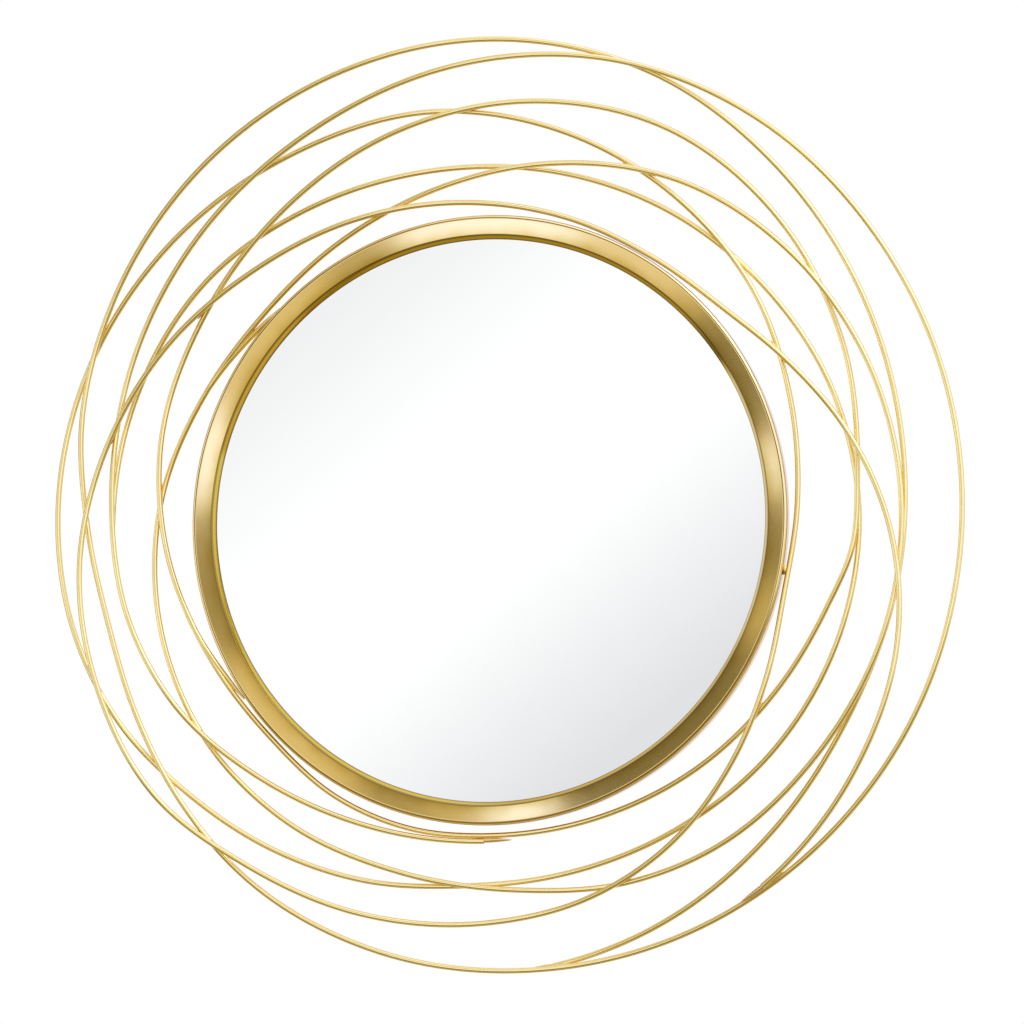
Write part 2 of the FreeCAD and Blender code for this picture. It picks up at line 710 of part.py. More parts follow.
strap_back = size("%s + seat_gap + strap_thickness" % BOARD_BACK)
nodes.append(group("hanger_screws", [
    moved(screw_pattern.Shape, size(across), strap_back, size(up))
    for across, up in strap_hole_spots()]))

nodes.append(make_bumpers())
nodes.append(make_wire_stubs())
nodes += [spray_wire(*wire) for wire in WIRES]
doc.recompute()

for thing in doc.Objects:
    if "Invalid" in thing.State or "Error" in thing.State:
        raise RuntimeError("%s did not build: %s" % (thing.Name, thing.State))
for node in nodes:
    node.Label = node.Name
    if node.Shape.isNull() or not node.Shape.isValid() or not node.Shape.Solids:
        raise RuntimeError("%s has no valid solid" % node.Label)

os.makedirs("parts", exist_ok=True)
for node in nodes:
    node.Shape.exportStep("parts/%s.step" % node.Label)
    print("%-24s solids %2d, volume %.0f" % (
        node.Label, len(node.Shape.Solids), node.Shape.Volume))
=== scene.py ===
# %% [markdown]
# A round wall mirror in a wide spray of gold wires. The imported model gives every piece at its
# real size and place, in metres, with the mirror facing -Y and the wall at y = 0. This lesson
# dresses those pieces: it models the ones whose surface shows from close by again, as smooth
# meshes, gives each finish a procedural material, and sets a camera and a soft studio.
#
# First the model is loaded, and a helper reads the box of any of its pieces.

# %% Load the frame
import math

import bpy
from mathutils import Matrix, Vector, kdtree, noise


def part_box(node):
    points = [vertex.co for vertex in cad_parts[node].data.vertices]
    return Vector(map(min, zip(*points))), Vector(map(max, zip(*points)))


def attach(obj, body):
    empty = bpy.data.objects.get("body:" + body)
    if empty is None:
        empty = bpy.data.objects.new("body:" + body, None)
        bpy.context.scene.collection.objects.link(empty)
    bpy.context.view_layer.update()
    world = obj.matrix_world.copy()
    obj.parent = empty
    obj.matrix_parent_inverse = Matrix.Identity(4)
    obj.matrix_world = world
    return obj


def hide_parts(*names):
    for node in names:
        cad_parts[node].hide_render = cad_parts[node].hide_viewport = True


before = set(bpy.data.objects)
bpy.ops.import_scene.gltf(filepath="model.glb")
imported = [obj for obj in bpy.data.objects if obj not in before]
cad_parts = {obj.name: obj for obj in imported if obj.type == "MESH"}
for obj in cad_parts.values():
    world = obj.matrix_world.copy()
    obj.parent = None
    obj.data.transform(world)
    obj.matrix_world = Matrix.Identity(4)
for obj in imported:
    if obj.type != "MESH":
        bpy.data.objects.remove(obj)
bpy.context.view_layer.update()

MM = 0.001
bpy.ops.object.select_all(action="DESELECT")

# %% [markdown]
# The photograph was taken from a little to the right of the mirror and from a little below it,
# which the ellipse of the glass gives: it is narrower than it is tall, and leans. The camera
# stands far off with a long lens, because the spray shows no perspective. It is aimed so that
# the middle of the glass falls where it does in the photograph.

# %% Camera
FRAME_PX = 1024
GLASS_MIDDLE_PX = (490.35, 520.4)
MM_PER_PX = 0.8556
CAMERA_AZIMUTH = math.radians(13.7)
CAMERA_ELEVATION = math.radians(-4.6)
CAMERA_DISTANCE = 20.0
SENSOR_WIDTH = 36.0
GLASS_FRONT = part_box("mirror_glass")[0].y


def camera_directions():
    """Right, up and back of the camera, in the model's frame."""
    across = math.cos(CAMERA_ELEVATION)
    back = Vector((math.sin(CAMERA_AZIMUTH) * across,
                   -math.cos(CAMERA_AZIMUTH) * across,
                   math.sin(CAMERA_ELEVATION)))
    right = Vector((math.cos(CAMERA_AZIMUTH), math.sin(CAMERA_AZIMUTH), 0))
    return right, back.cross(right), back


def add_camera():
    """Aims a long lens so that the glass's middle falls on its place in the picture."""
    right, up, back = camera_directions()
    middle = FRAME_PX / 2
    aside = (middle - GLASS_MIDDLE_PX[0]) * MM_PER_PX * MM
    above = (GLASS_MIDDLE_PX[1] - middle) * MM_PER_PX * MM
    target = Vector((0, GLASS_FRONT, 0)) + right * aside + up * above
    data = bpy.data.cameras.new("camera")
    data.sensor_width = SENSOR_WIDTH
    data.lens = SENSOR_WIDTH * CAMERA_DISTANCE / (FRAME_PX * MM_PER_PX * MM)
    data.clip_end = 2 * CAMERA_DISTANCE
    camera = bpy.data.objects.new("camera", data)
    bpy.context.scene.collection.objects.link(camera)
    camera.matrix_world = Matrix.Translation(target + back * CAMERA_DISTANCE) @ Matrix(
        (right, up, back)).transposed().to_4x4()
    bpy.context.scene.camera = camera
    print("lens: %.0f mm" % data.lens)


def thrown_back():
    """The direction in which the flat glass throws the camera's line of sight."""
    back = camera_directions()[2]
    return Vector((-back.x, back.y, -back.z))


add_camera()

# %% [markdown]
# The world and every finish are made of nodes. A few helpers keep their code short: one adds a
# node with its settings, and the others do sums, soft edges, blends and ramps with them.

# %% Helpers for shader nodes


def link(tree, source, target):
    """Links a socket to an input, or gives the input a plain value."""
    if isinstance(source, bpy.types.NodeSocket):
        tree.links.new(source, target)
    else:
        target.default_value = source


def add_node(tree, kind, **settings):
    """Adds a node. Settings with a capital are its inputs, the others its properties."""
    node = tree.nodes.new(kind)
    for name, value in settings.items():
        if name[0].isupper():
            link(tree, value, node.inputs[name.replace("_", " ")])
        else:
            setattr(node, name, value)
    return node


def object_coordinates(tree):
    """Where a point lies on its piece."""
    return add_node(tree, "ShaderNodeTexCoord").outputs["Object"]


def number(tree, operation, *values):
    """A Math node on sockets or plain numbers."""
    node = add_node(tree, "ShaderNodeMath", operation=operation)
    for socket, value in zip(node.inputs, values):
        link(tree, value, socket)
    return node.outputs[0]


def faded(tree, value, low, high):
    """Goes softly from 0 at low to 1 at high; with high below low it falls."""
    return add_node(tree, "ShaderNodeMapRange", interpolation_type="SMOOTHSTEP", Value=value,
                    From_Min=low, From_Max=high).outputs["Result"]


def times(tree, *values):
    """The product of several values."""
    product = values[0]
    for value in values[1:]:
        product = number(tree, "MULTIPLY", product, value)
    return product


def map_range(tree, value, low, high):
    """Spreads a 0 to 1 value between two values, which may be sockets."""
    return add_node(tree, "ShaderNodeMapRange", Value=value, To_Min=low,
                    To_Max=high).outputs["Result"]


def mix_colours(tree, factor, first, second):
    """Goes from the first colour to the second as the factor goes from 0 to 1."""
    mix = add_node(tree, "ShaderNodeMix", data_type="RGBA")
    for place, value in ((0, factor), (6, first), (7, second)):
        link(tree, value, mix.inputs[place])
    return mix.outputs[2]


def fill_ramp(ramp, stops):
    """Sets the stops of a colour ramp, of which the first two given are its ends."""
    for place, (position, colour) in enumerate(stops):
        element = ramp.elements[place] if place < 2 else ramp.elements.new(position)
        element.position = position
        element.color = colour


# %% [markdown]
# Polished metal has no look of its own: it shows the room. So the studio matters more here
# than on a painted object. Dull surfaces are lit by an even pale world, but what the metal
# reflects is a room that is painted by direction: bright above and to the right, dark below
# and to the left, with a few panels and a pale wall behind. That draws the thin dark line
# along one side of every wire. The ring's sloping face looks at a narrow circle of
# directions round the line of sight, so a wheel of panels stands there, and each panel
# lights one stretch of the ring. The bevel is seen twice over, in the glass below it.

# %% World
ROOM_LIGHT_FROM = (0.53, -0.33, 0.78)
ROOM_STEPS = ((0.0, 0.26), (1.0, 3.0), (0.30, 0.34), (0.55, 0.8), (0.75, 1.7))
ROOM_DIFFUSE = (0.80, 0.80, 0.80, 1.0)
WHITE = (1.0, 1.0, 1.0, 1.0)
TOP_LIGHT = 4.0
# Behind the mirror the room is dimmer, and straight behind it stands the pale wall. Each
# fades in over a share of the way back
BEHIND_LIGHT = 0.7
BEHIND_FADE = (0.30, 0.55)
WALL_LIGHT = 1.9
WALL_FADE = (0.80, 0.92)
# Panels that hang in the room: from where to where each one reaches across, in depth and up,
# as parts of a direction of length one, and its strength. Their edges are soft
PANEL_EDGE = 0.05
ROOM_PANELS = (
    ("left_front", (-1.1, -0.69), (-1.1, -0.20), (-0.30, 0.40), 2.2),
    ("right_front", (0.24, 0.80), (-1.1, -0.55), (-0.16, 0.26), 2.2),
    ("right_side", (0.80, 1.1), (-0.15, 0.30), (-0.25, 0.45), 2.4),
    ("overhead", (-0.60, 0.45), (0.15, 0.50), (0.70, 1.1), 2.4),
    ("left_back", (-1.1, -0.70), (0.38, 0.62), (-0.35, 0.45), 2.0),
    ("high_left_front", (-0.85, -0.15), (-0.58, -0.28), (0.36, 0.95), 1.4),
    ("low", (-0.85, 0.75), (-0.42, 0.15), (-1.1, -0.42), 0.55),
    ("low_right", (0.50, 1.1), (-0.20, 0.25), (-0.80, -0.25), 1.1),
)
# What a strength looks like: warm where the room is dim, cool daylight where it is bright
LIGHT_COLOURS = (
    (0.0, (0.0, 0.0, 0.0, 1)), (4.0, (1.20, 1.42, 2.65, 1)), (0.7, (0.70, 0.65, 0.43, 1)),
    (1.2, (0.90, 0.92, 1.00, 1)), (2.0, (1.10, 1.30, 2.10, 1)),
)
# Where a panel of the wheel begins and ends, in degrees clockwise on the ring from the right
# for someone who faces it, and its strength
WHEEL_PANELS = (
    ("right", 0, 11, 0.29), ("right_low", 16, 23, 0.60), ("low_right", 28, 75, 0.22),
    ("bottom_strip", 79, 87, 3.8), ("bottom", 91, 100, 0.60), ("low_left", 105, 114, 0.40),
    ("left_low", 122, 149, 0.82), ("left", 156, 182, 0.36), ("left_strip", 189, 199, 3.5),
    ("left_high", 204, 232, 0.84), ("high_left", 238, 250, 0.50), ("top", 256, 282, 3.8),
    ("high_right", 290, 308, 1.08), ("right_high", 320, 343, 0.26),
    ("right_strip", 347, 352, 1.9), ("right_end", 358, 360, 0.29),
)
# How far out the wheel fades at its rim and in its hub, which has an even light of its own,
# and how far forward it stands
WHEEL_RIM = (0.47, 0.41)
WHEEL_HUB = (0.20, 0.14)
WHEEL_DEPTH = (-0.4, -0.6)
FRONT_LIGHT = 1.8


def between(tree, value, low, high):
    """1 between two values and 0 beyond them, with soft edges."""
    return times(tree, faded(tree, value, low - PANEL_EDGE, low + PANEL_EDGE),
                 faded(tree, value, high + PANEL_EDGE, high - PANEL_EDGE))


def light_ramp(tree, value, steps):
    """A strength from a ramp of (position, strength) steps, none above TOP_LIGHT."""
    node = add_node(tree, "ShaderNodeValToRGB", Fac=value)
    fill_ramp(node.color_ramp, [(position, [strength / TOP_LIGHT] * 3 + [1])
                                for position, strength in steps])
    return times(tree, node.outputs["Color"], TOP_LIGHT)


def lay(tree, light, mask, strength):
    """Lays a panel over the light that is there so far."""
    node = add_node(tree, "ShaderNodeMix", data_type="FLOAT")
    for place, value in ((0, mask), (2, light), (3, strength)):
        link(tree, value, node.inputs[place])
    return node.outputs[0]


def room_light(tree, direction, across, depth, up):
    """The room: a glow from above on the right, dimmer behind, its panels and the wall."""
    toward = add_node(tree, "ShaderNodeVectorMath", operation="DOT_PRODUCT", Vector=direction)
    toward.inputs[1].default_value = ROOM_LIGHT_FROM
    light = light_ramp(tree, faded(tree, toward.outputs["Value"], 0.0, 1.0), ROOM_STEPS)
    light = lay(tree, light, faded(tree, depth, *BEHIND_FADE), BEHIND_LIGHT)
    for name, *ranges, strength in ROOM_PANELS:
        masks = [between(tree, value, *limits)
                 for value, limits in zip((across, depth, up), ranges)]
        light = lay(tree, light, times(tree, *masks), strength)
    return lay(tree, light, faded(tree, depth, *WALL_FADE), WALL_LIGHT)


def wheel_steps():
    """The wheel's panels as steps of a ramp over one turn."""
    steps = []
    for name, begin, end, strength in WHEEL_PANELS:
        steps += [(begin / 360, strength), (end / 360, strength)]
    return [steps[0], steps[-1]] + steps[1:-1]


def wheel_light(tree, light, across, depth, up):
    """Lays the wheel over the room, round the direction in which the glass throws a look."""
    thrown = thrown_back()
    aside = number(tree, "SUBTRACT", across, thrown.x)
    above = number(tree, "SUBTRACT", up, thrown.z)
    reach = number(tree, "SQRT", number(tree, "ADD", times(tree, aside, aside),
                                        times(tree, above, above)))
    turn = number(tree, "ARCTAN2", above, times(tree, aside, -1.0))
    turn = number(tree, "FRACT", number(tree, "DIVIDE", turn, math.tau))
    in_front = times(tree, faded(tree, reach, *WHEEL_RIM), faded(tree, depth, *WHEEL_DEPTH))
    light = lay(tree, light, in_front, light_ramp(tree, turn, wheel_steps()))
    hub = times(tree, in_front, faded(tree, reach, *WHEEL_HUB))
    return lay(tree, light, hub, FRONT_LIGHT)


def build_world():
    """White for the camera, an even pale light for dull surfaces, the room for shiny ones."""
    world = bpy.data.worlds.new("studio")
    bpy.context.scene.world = world
    world.use_nodes = True
    tree = world.node_tree
    tree.nodes.clear()
    direction = add_node(tree, "ShaderNodeTexCoord").outputs["Generated"]
    axes = list(add_node(tree, "ShaderNodeSeparateXYZ", Vector=direction).outputs)
    light = wheel_light(tree, room_light(tree, direction, *axes), *axes)
    tint = add_node(tree, "ShaderNodeValToRGB",
                    Fac=number(tree, "DIVIDE", light, TOP_LIGHT))
    fill_ramp(tint.color_ramp, [(strength / TOP_LIGHT, colour)
                                for strength, colour in LIGHT_COLOURS])
    path = add_node(tree, "ShaderNodeLightPath")
    seen = mix_colours(tree, path.outputs["Is Glossy Ray"], ROOM_DIFFUSE,
                       tint.outputs["Color"])
    seen = mix_colours(tree, path.outputs["Is Camera Ray"], seen, WHITE)
    shine = add_node(tree, "ShaderNodeBackground", Color=seen)
    add_node(tree, "ShaderNodeOutputWorld", Surface=shine.outputs["Background"])


build_world()
bpy.context.scene.view_settings.view_transform = "Standard"
print("world: white to the camera, graded for reflections")

# %% [markdown]
# A flat mirror shows a card at the same offset as the point that is looked at. So a white
# card stands where the camera's line of sight is thrown back, and its pale grey corners give
# the glass its slight, uneven sheen. One large soft lamp above gives the shadows.

# %% Card, lamp and floor
CARD_DISTANCE = 3.0
CARD_HALF = 0.36
# The card's colour at shares of the way along its diagonal, from minus to plus its reach
CARD_DIAGONAL = (0.62, -0.78, 0.0)
CARD_REACH = 0.26
CARD_STOPS = (
    (0.0, (0.91, 0.915, 0.92, 1)), (1.0, (0.78, 0.785, 0.80, 1)),
    (0.30, (1.05, 1.05, 1.05, 1)), (0.62, (1.05, 1.05, 1.05, 1)),
)
KEY_PLACE = Vector((2.2, -2.0, 2.6))
KEY_SIZE = 1.6
KEY_POWER = 28.0
FLOOR_HEIGHT = -0.60
FLOOR_RADIUS = 2.4
FLOOR_SIDES = 96
FLOOR_FADE = (2.3, 0.9)
FLOOR_COLOUR = (0.90, 0.90, 0.89, 1)
FLOOR_ROUGHNESS = 0.6


def new_material(name):
    """A new material, its node tree and its Principled shader."""
    material = bpy.data.materials.new(name)
    material.use_nodes = True
    tree = material.node_tree
    return material, tree, tree.nodes["Principled BSDF"]


def card_material():
    """White along one diagonal, light grey towards the other two corners."""
    material, tree = new_material("card")[:2]
    tree.nodes.clear()
    diagonal = add_node(tree, "ShaderNodeVectorMath", operation="DOT_PRODUCT",
                        Vector=object_coordinates(tree))
    diagonal.inputs[1].default_value = CARD_DIAGONAL
    spread = add_node(tree, "ShaderNodeMapRange", Value=diagonal.outputs["Value"],
                      From_Min=-CARD_REACH, From_Max=CARD_REACH)
    shade = add_node(tree, "ShaderNodeValToRGB", Fac=spread.outputs["Result"])
    fill_ramp(shade.color_ramp, CARD_STOPS)
    glow = add_node(tree, "ShaderNodeEmission", Color=shade.outputs["Color"])
    add_node(tree, "ShaderNodeOutputMaterial", Surface=glow.outputs["Emission"])
    return material


def add_card():
    """Stands the card where the glass looks. Only reflections show it."""
    middle = thrown_back() * CARD_DISTANCE
    bpy.ops.mesh.primitive_plane_add(size=2 * CARD_HALF, location=middle)
    card = bpy.context.object
    card.name = "card"
    card.rotation_euler = (math.radians(90), 0, 0)
    card.data.materials.append(card_material())
    card.visible_camera = False
    card.visible_diffuse = False
    card.visible_shadow = False
    card.select_set(False)


def add_key_light():
    """Hangs the lamp up on the right in front, turned towards the mirror."""
    data = bpy.data.lights.new("key", "AREA")
    data.size = KEY_SIZE
    data.energy = KEY_POWER
    lamp = bpy.data.objects.new("key", data)
    bpy.context.scene.collection.objects.link(lamp)
    lamp.location = KEY_PLACE
    lamp.rotation_euler = (-KEY_PLACE).to_track_quat("-Z", "Y").to_euler()
    lamp.visible_camera = False


def add_floor():
    """A pale disc under the mirror that fades out towards its rim."""
    bpy.ops.mesh.primitive_circle_add(vertices=FLOOR_SIDES, radius=FLOOR_RADIUS,
                                      fill_type="NGON", location=(0, 0, FLOOR_HEIGHT))
    floor = bpy.context.object
    floor.name = "floor"
    material, tree, shader = new_material("floor")
    shader.inputs["Base Color"].default_value = FLOOR_COLOUR
    shader.inputs["Roughness"].default_value = FLOOR_ROUGHNESS
    reach = add_node(tree, "ShaderNodeVectorMath", operation="LENGTH",
                     Vector=object_coordinates(tree))
    link(tree, faded(tree, reach.outputs["Value"], *FLOOR_FADE), shader.inputs["Alpha"])
    floor.data.materials.append(material)
    floor.visible_glossy = False
    floor.select_set(False)


add_card()
add_key_light()
add_floor()
print("card at", [round(v, 2) for v in thrown_back() * CARD_DISTANCE])

# %% [markdown]
# Gold plate under lacquer is never quite even: the plate is a little redder in places, the
# polish leaves fine scratches, and the lacquer a slight orange peel. One node group makes
# these from noise, so that the ring, the wires and the welds can share it with their own
# values. It gives a colour, a roughness and a height, and the metal itself stays a plain
# Principled shader in each material.

# %% Shared surface effects
BLOTCH_SCALE = 20.0
SMEAR_SCALE = 70.0
SCRATCH_SCALE = 900.0
SCRATCH_DEPTH = 0.05 * MM
LACQUER = 0.3
LACQUER_ROUGHNESS = 0.04
# A line of painted shade wanders by this share of its half width, and fades between these two
WANDER = 0.3
WANDER_SCALE = 45.0
LINE_EDGE = (1.1, 0.5)


def new_group(name, inputs, outputs):
    """An empty node group with its sockets, and the nodes that stand for them inside it."""
    group = bpy.data.node_groups.new(name, "ShaderNodeTree")
    for label, kind, value in inputs:
        socket = group.interface.new_socket(label, in_out="INPUT", socket_type=kind)
        socket.default_value = value
    for label, kind in outputs:
        group.interface.new_socket(label, in_out="OUTPUT", socket_type=kind)
    return group, add_node(group, "NodeGroupInput"), add_node(group, "NodeGroupOutput")


def build_plate_group():
    """Uneven plate: blotches of a second tone, uneven polish and fine scratches."""
    group, given, made = new_group(
        "uneven_plate",
        (("Tone", "NodeSocketColor", WHITE),
         ("Second Tone", "NodeSocketColor", WHITE),
         ("Polish", "NodeSocketFloat", 0.15),
         ("Dull", "NodeSocketFloat", 0.25),
         ("Scratch Scale", "NodeSocketFloat", SCRATCH_SCALE)),
        (("Color", "NodeSocketColor"), ("Roughness", "NodeSocketFloat"),
         ("Height", "NodeSocketFloat")))
    place = object_coordinates(group)
    blotch = add_node(group, "ShaderNodeTexNoise", Vector=place, Scale=BLOTCH_SCALE,
                      Detail=4.0, Roughness=0.55)
    smear = add_node(group, "ShaderNodeTexNoise", Vector=place, Scale=SMEAR_SCALE, Detail=3.0)
    fine = add_node(group, "ShaderNodeTexNoise", Vector=place,
                    Scale=given.outputs["Scratch Scale"], Detail=2.0)
    link(group, mix_colours(group, blotch.outputs["Fac"], given.outputs["Tone"],
                            given.outputs["Second Tone"]), made.inputs["Color"])
    link(group, map_range(group, smear.outputs["Fac"], given.outputs["Polish"],
                          given.outputs["Dull"]), made.inputs["Roughness"])
    link(group, fine.outputs["Fac"], made.inputs["Height"])
    return group


UNEVEN_PLATE = build_plate_group()


def build_line_group():
    """A thin soft line where a value passes a middle, made to wander a little by noise."""
    group, given, made = new_group(
        "painted_shade_line",
        (("Value", "NodeSocketFloat", 0.0), ("Middle", "NodeSocketFloat", 0.0),
         ("Half Width", "NodeSocketFloat", 0.5 * MM)),
        (("Mask", "NodeSocketFloat"),))
    drift = add_node(group, "ShaderNodeTexNoise", Vector=object_coordinates(group),
                     Scale=WANDER_SCALE, Detail=2.0)
    shift = times(group, number(group, "SUBTRACT", drift.outputs["Fac"], 0.5), WANDER)
    off = number(group, "SUBTRACT", given.outputs["Value"], given.outputs["Middle"])
    share = number(group, "ABSOLUTE", number(group, "ADD", shift, number(
        group, "DIVIDE", off, given.outputs["Half Width"])))
    link(group, faded(group, share, *LINE_EDGE), made.inputs["Mask"])
    return group


PAINTED_SHADE_LINE = build_line_group()


def add_relief(tree, height, strength, distance):
    """Makes a height into fine relief on the material's shader."""
    bump = add_node(tree, "ShaderNodeBump", Strength=strength, Distance=distance,
                    Height=height)
    link(tree, bump.outputs["Normal"], tree.nodes["Principled BSDF"].inputs["Normal"])


def plated(name, tone, second, polish, dull, bump, scratch_scale=SCRATCH_SCALE, coat=LACQUER):
    """A metal material on the shared group."""
    material, tree, shader = new_material(name)
    shader.inputs["Metallic"].default_value = 1.0
    shader.inputs["Coat Weight"].default_value = coat
    shader.inputs["Coat Roughness"].default_value = LACQUER_ROUGHNESS
    plate = add_node(tree, "ShaderNodeGroup", node_tree=UNEVEN_PLATE, Tone=tone,
                     Second_Tone=second, Polish=polish, Dull=dull,
                     Scratch_Scale=scratch_scale)
    link(tree, plate.outputs["Color"], shader.inputs["Base Color"])
    link(tree, plate.outputs["Roughness"], shader.inputs["Roughness"])
    add_relief(tree, plate.outputs["Height"], bump, SCRATCH_DEPTH)
    return material


# %% [markdown]
# Four metals share that group. The ring and the wires are of nearly the same gold, the welds
# are redder and rougher, and the hardware behind is bare zinc, without lacquer.

# %% Metals
RING_GOLD = plated("ring_gold", (0.955, 0.70, 0.275, 1), (0.935, 0.665, 0.24, 1),
                   polish=0.08, dull=0.13, bump=0.010)
WIRE_GOLD = plated("wire_gold", (0.955, 0.725, 0.25, 1), (0.935, 0.69, 0.22, 1),
                   polish=0.09, dull=0.15, bump=0.010)
WELD_GOLD = plated("weld_gold", (0.93, 0.63, 0.23, 1), (0.86, 0.54, 0.17, 1),
                   polish=0.14, dull=0.24, bump=0.08, scratch_scale=400.0)
ZINC = plated("zinc", (0.72, 0.73, 0.75, 1), (0.58, 0.60, 0.63, 1),
              polish=0.22, dull=0.42, bump=0.25, scratch_scale=700.0, coat=0.0)
print("metals:", [m.name for m in (RING_GOLD, WIRE_GOLD, WELD_GOLD, ZINC)])

# %% [markdown]
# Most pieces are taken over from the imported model, whose meshes are loose triangles with
# sharp shading. A copy is merged into one skin, its real edges are broken with a small
# bevel that catches the light, and the rest is shaded smooth. The copy then stands for the
# node.

# %% Helpers for pieces
MERGE_REACH = 0.02 * MM
# Edges that turn by less than the first angle are dissolved, by more than the second, broken
FLAT_ANGLE = 1
EDGE_ANGLE = 40


def only(piece):
    """Makes a piece the only selected one, and the active one."""
    bpy.ops.object.select_all(action="DESELECT")
    piece.select_set(True)
    bpy.context.view_layer.objects.active = piece


def finish_piece(piece, name, body, material, replaced=()):
    """Names a finished piece, dresses it and ties it to its body."""
    piece.name = name
    piece.data.name = name
    if material is not None:
        piece.data.materials.clear()
        piece.data.materials.append(material)
    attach(piece, body)
    if replaced:
        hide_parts(*replaced)
    piece.select_set(False)


def merged_copy(node):
    """A free copy of a node's mesh with its doubles merged."""
    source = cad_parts[node]
    piece = bpy.data.objects.new(node + "_skin", source.data.copy())
    bpy.context.scene.collection.objects.link(piece)
    piece.data.materials.clear()
    only(piece)
    if piece.data.has_custom_normals:
        bpy.ops.mesh.customdata_custom_splitnormals_clear()
    bpy.ops.object.mode_set(mode="EDIT")
    bpy.ops.mesh.select_all(action="SELECT")
    bpy.ops.mesh.remove_doubles(threshold=MERGE_REACH)
    bpy.ops.mesh.dissolve_limited(angle_limit=math.radians(FLAT_ANGLE))
    bpy.ops.object.mode_set(mode="OBJECT")
    return piece


def smooth(piece, angle):
    """Shades a piece smooth, but for edges that turn by more than an angle."""
    only(piece)
    bpy.ops.object.shade_smooth_by_angle(angle=math.radians(angle))


def broken_edges(piece, width, segments=2):
    """Rounds the real edges of a piece and shades it smooth."""
    bevel = piece.modifiers.new("edges", "BEVEL")
    bevel.width = width
    bevel.segments = segments
    bevel.limit_method = "ANGLE"
    bevel.angle_limit = math.radians(EDGE_ANGLE)
    only(piece)
    bpy.ops.object.modifier_apply(modifier=bevel.name)
    smooth(piece, EDGE_ANGLE)
    return piece


def joined(pieces):
    """Joins pieces into the first one, and turns all its faces outwards."""
    only(pieces[0])
    for piece in pieces:
        piece.select_set(True)
    bpy.ops.object.join()
    bpy.ops.object.mode_set(mode="EDIT")
    bpy.ops.mesh.select_all(action="SELECT")
    bpy.ops.mesh.normals_make_consistent(inside=False)
    bpy.ops.object.mode_set(mode="OBJECT")
    return bpy.context.object


# %% [markdown]
# The ring is rolled from one strip of sheet: a wall that stands on the back, a rolled outer
# edge, a face that slopes back towards the glass and is very slightly crowned, and a steep
# inner bevel. The crown is what draws the face's light and dark across its width. A section
# is drawn once, with its round stretches as arcs, and spun round the mirror's axis.

# %% Frame ring
RING_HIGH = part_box("frame_ring")[1]
RING_RADIUS = RING_HIGH.x
RING_BACK = RING_HIGH.y
RING_DEPTH = 25.0 * MM
RING_FRONT = RING_BACK - RING_DEPTH
SHEET = 1.5 * MM
ROLL_RADIUS = 3.0 * MM
FACE_WIDTH = 20.6 * MM
BEVEL_WIDTH = 3.8 * MM
BEVEL_FOOT = 1.9 * MM
CREASE_RADIUS = 0.8 * MM
FACE_DROP = 2.9 * MM
FACE_CROWN = 0.08 * MM
FOOT_CLEARANCE = 0.1 * MM
SIGHT_RADIUS = RING_RADIUS - FACE_WIDTH
CREASE_STEPS = 6
FACE_STEPS = 10
ROLL_STEPS = 16
INNER_ROLL_STEPS = 8
SPIN_STEPS = 384
SPIN_MERGE = 0.002 * MM
RING_SHARP = 35


def arc_between(start, corner, end, steps):
    """Points of the arc that leaves start towards corner and comes to end from it."""
    points = []
    chord = end - start
    middle = (start + end) / 2
    half = chord.length / 2
    rise = (corner - middle) * (half / (half + (corner - start).length))
    sagitta = rise.length
    radius = (half * half + sagitta * sagitta) / (2 * sagitta)
    centre = middle + rise - rise.normalized() * radius
    first = start - centre
    turn = first.angle_signed(end - centre)
    for step in range(steps + 1):
        spot = first.copy()
        spot.rotate(Matrix.Rotation(-turn * step / steps, 2))
        points.append(centre + spot)
    return points


def rounded_corner(before, corner, after, radius, steps):
    """The arc of a given radius that rounds a corner."""
    back = (before - corner).normalized()
    ahead = (after - corner).normalized()
    reach = radius / math.tan(back.angle(ahead) / 2)
    return arc_between(corner + back * reach, corner, corner + ahead * reach, steps)


def ring_section():
    """The section's outline as (radius, y), from the bevel's foot on the glass outwards."""
    foot = GLASS_FRONT - FOOT_CLEARANCE
    toe = Vector((SIGHT_RADIUS, foot))
    crease = Vector((SIGHT_RADIUS + BEVEL_WIDTH, RING_FRONT + FACE_DROP))
    outer = Vector((RING_RADIUS, RING_FRONT))
    rear = Vector((RING_RADIUS, RING_BACK))
    inner = Vector((RING_RADIUS - SHEET, RING_FRONT + SHEET))
    inner_rear = Vector((inner.x, RING_BACK))
    heel = crease + Vector((CREASE_RADIUS, SHEET))
    heel_toe = Vector((SIGHT_RADIUS + BEVEL_FOOT, foot))
    crease_arc = rounded_corner(toe, crease, outer, CREASE_RADIUS, CREASE_STEPS)
    roll = rounded_corner(crease, outer, rear, ROLL_RADIUS, ROLL_STEPS)
    start, end = crease_arc[-1], roll[0]
    along = end - start
    raised = Vector((-along.y, along.x)).normalized() * (-2 * FACE_CROWN)
    face = arc_between(start, (start + end) / 2 + raised, end, FACE_STEPS)
    inner_roll = rounded_corner(heel, inner, inner_rear, ROLL_RADIUS - SHEET,
                                INNER_ROLL_STEPS)
    return ([toe] + crease_arc[:-1] + face[:-1] + roll
            + [rear, inner_rear] + inner_roll[::-1] + [heel, heel_toe])


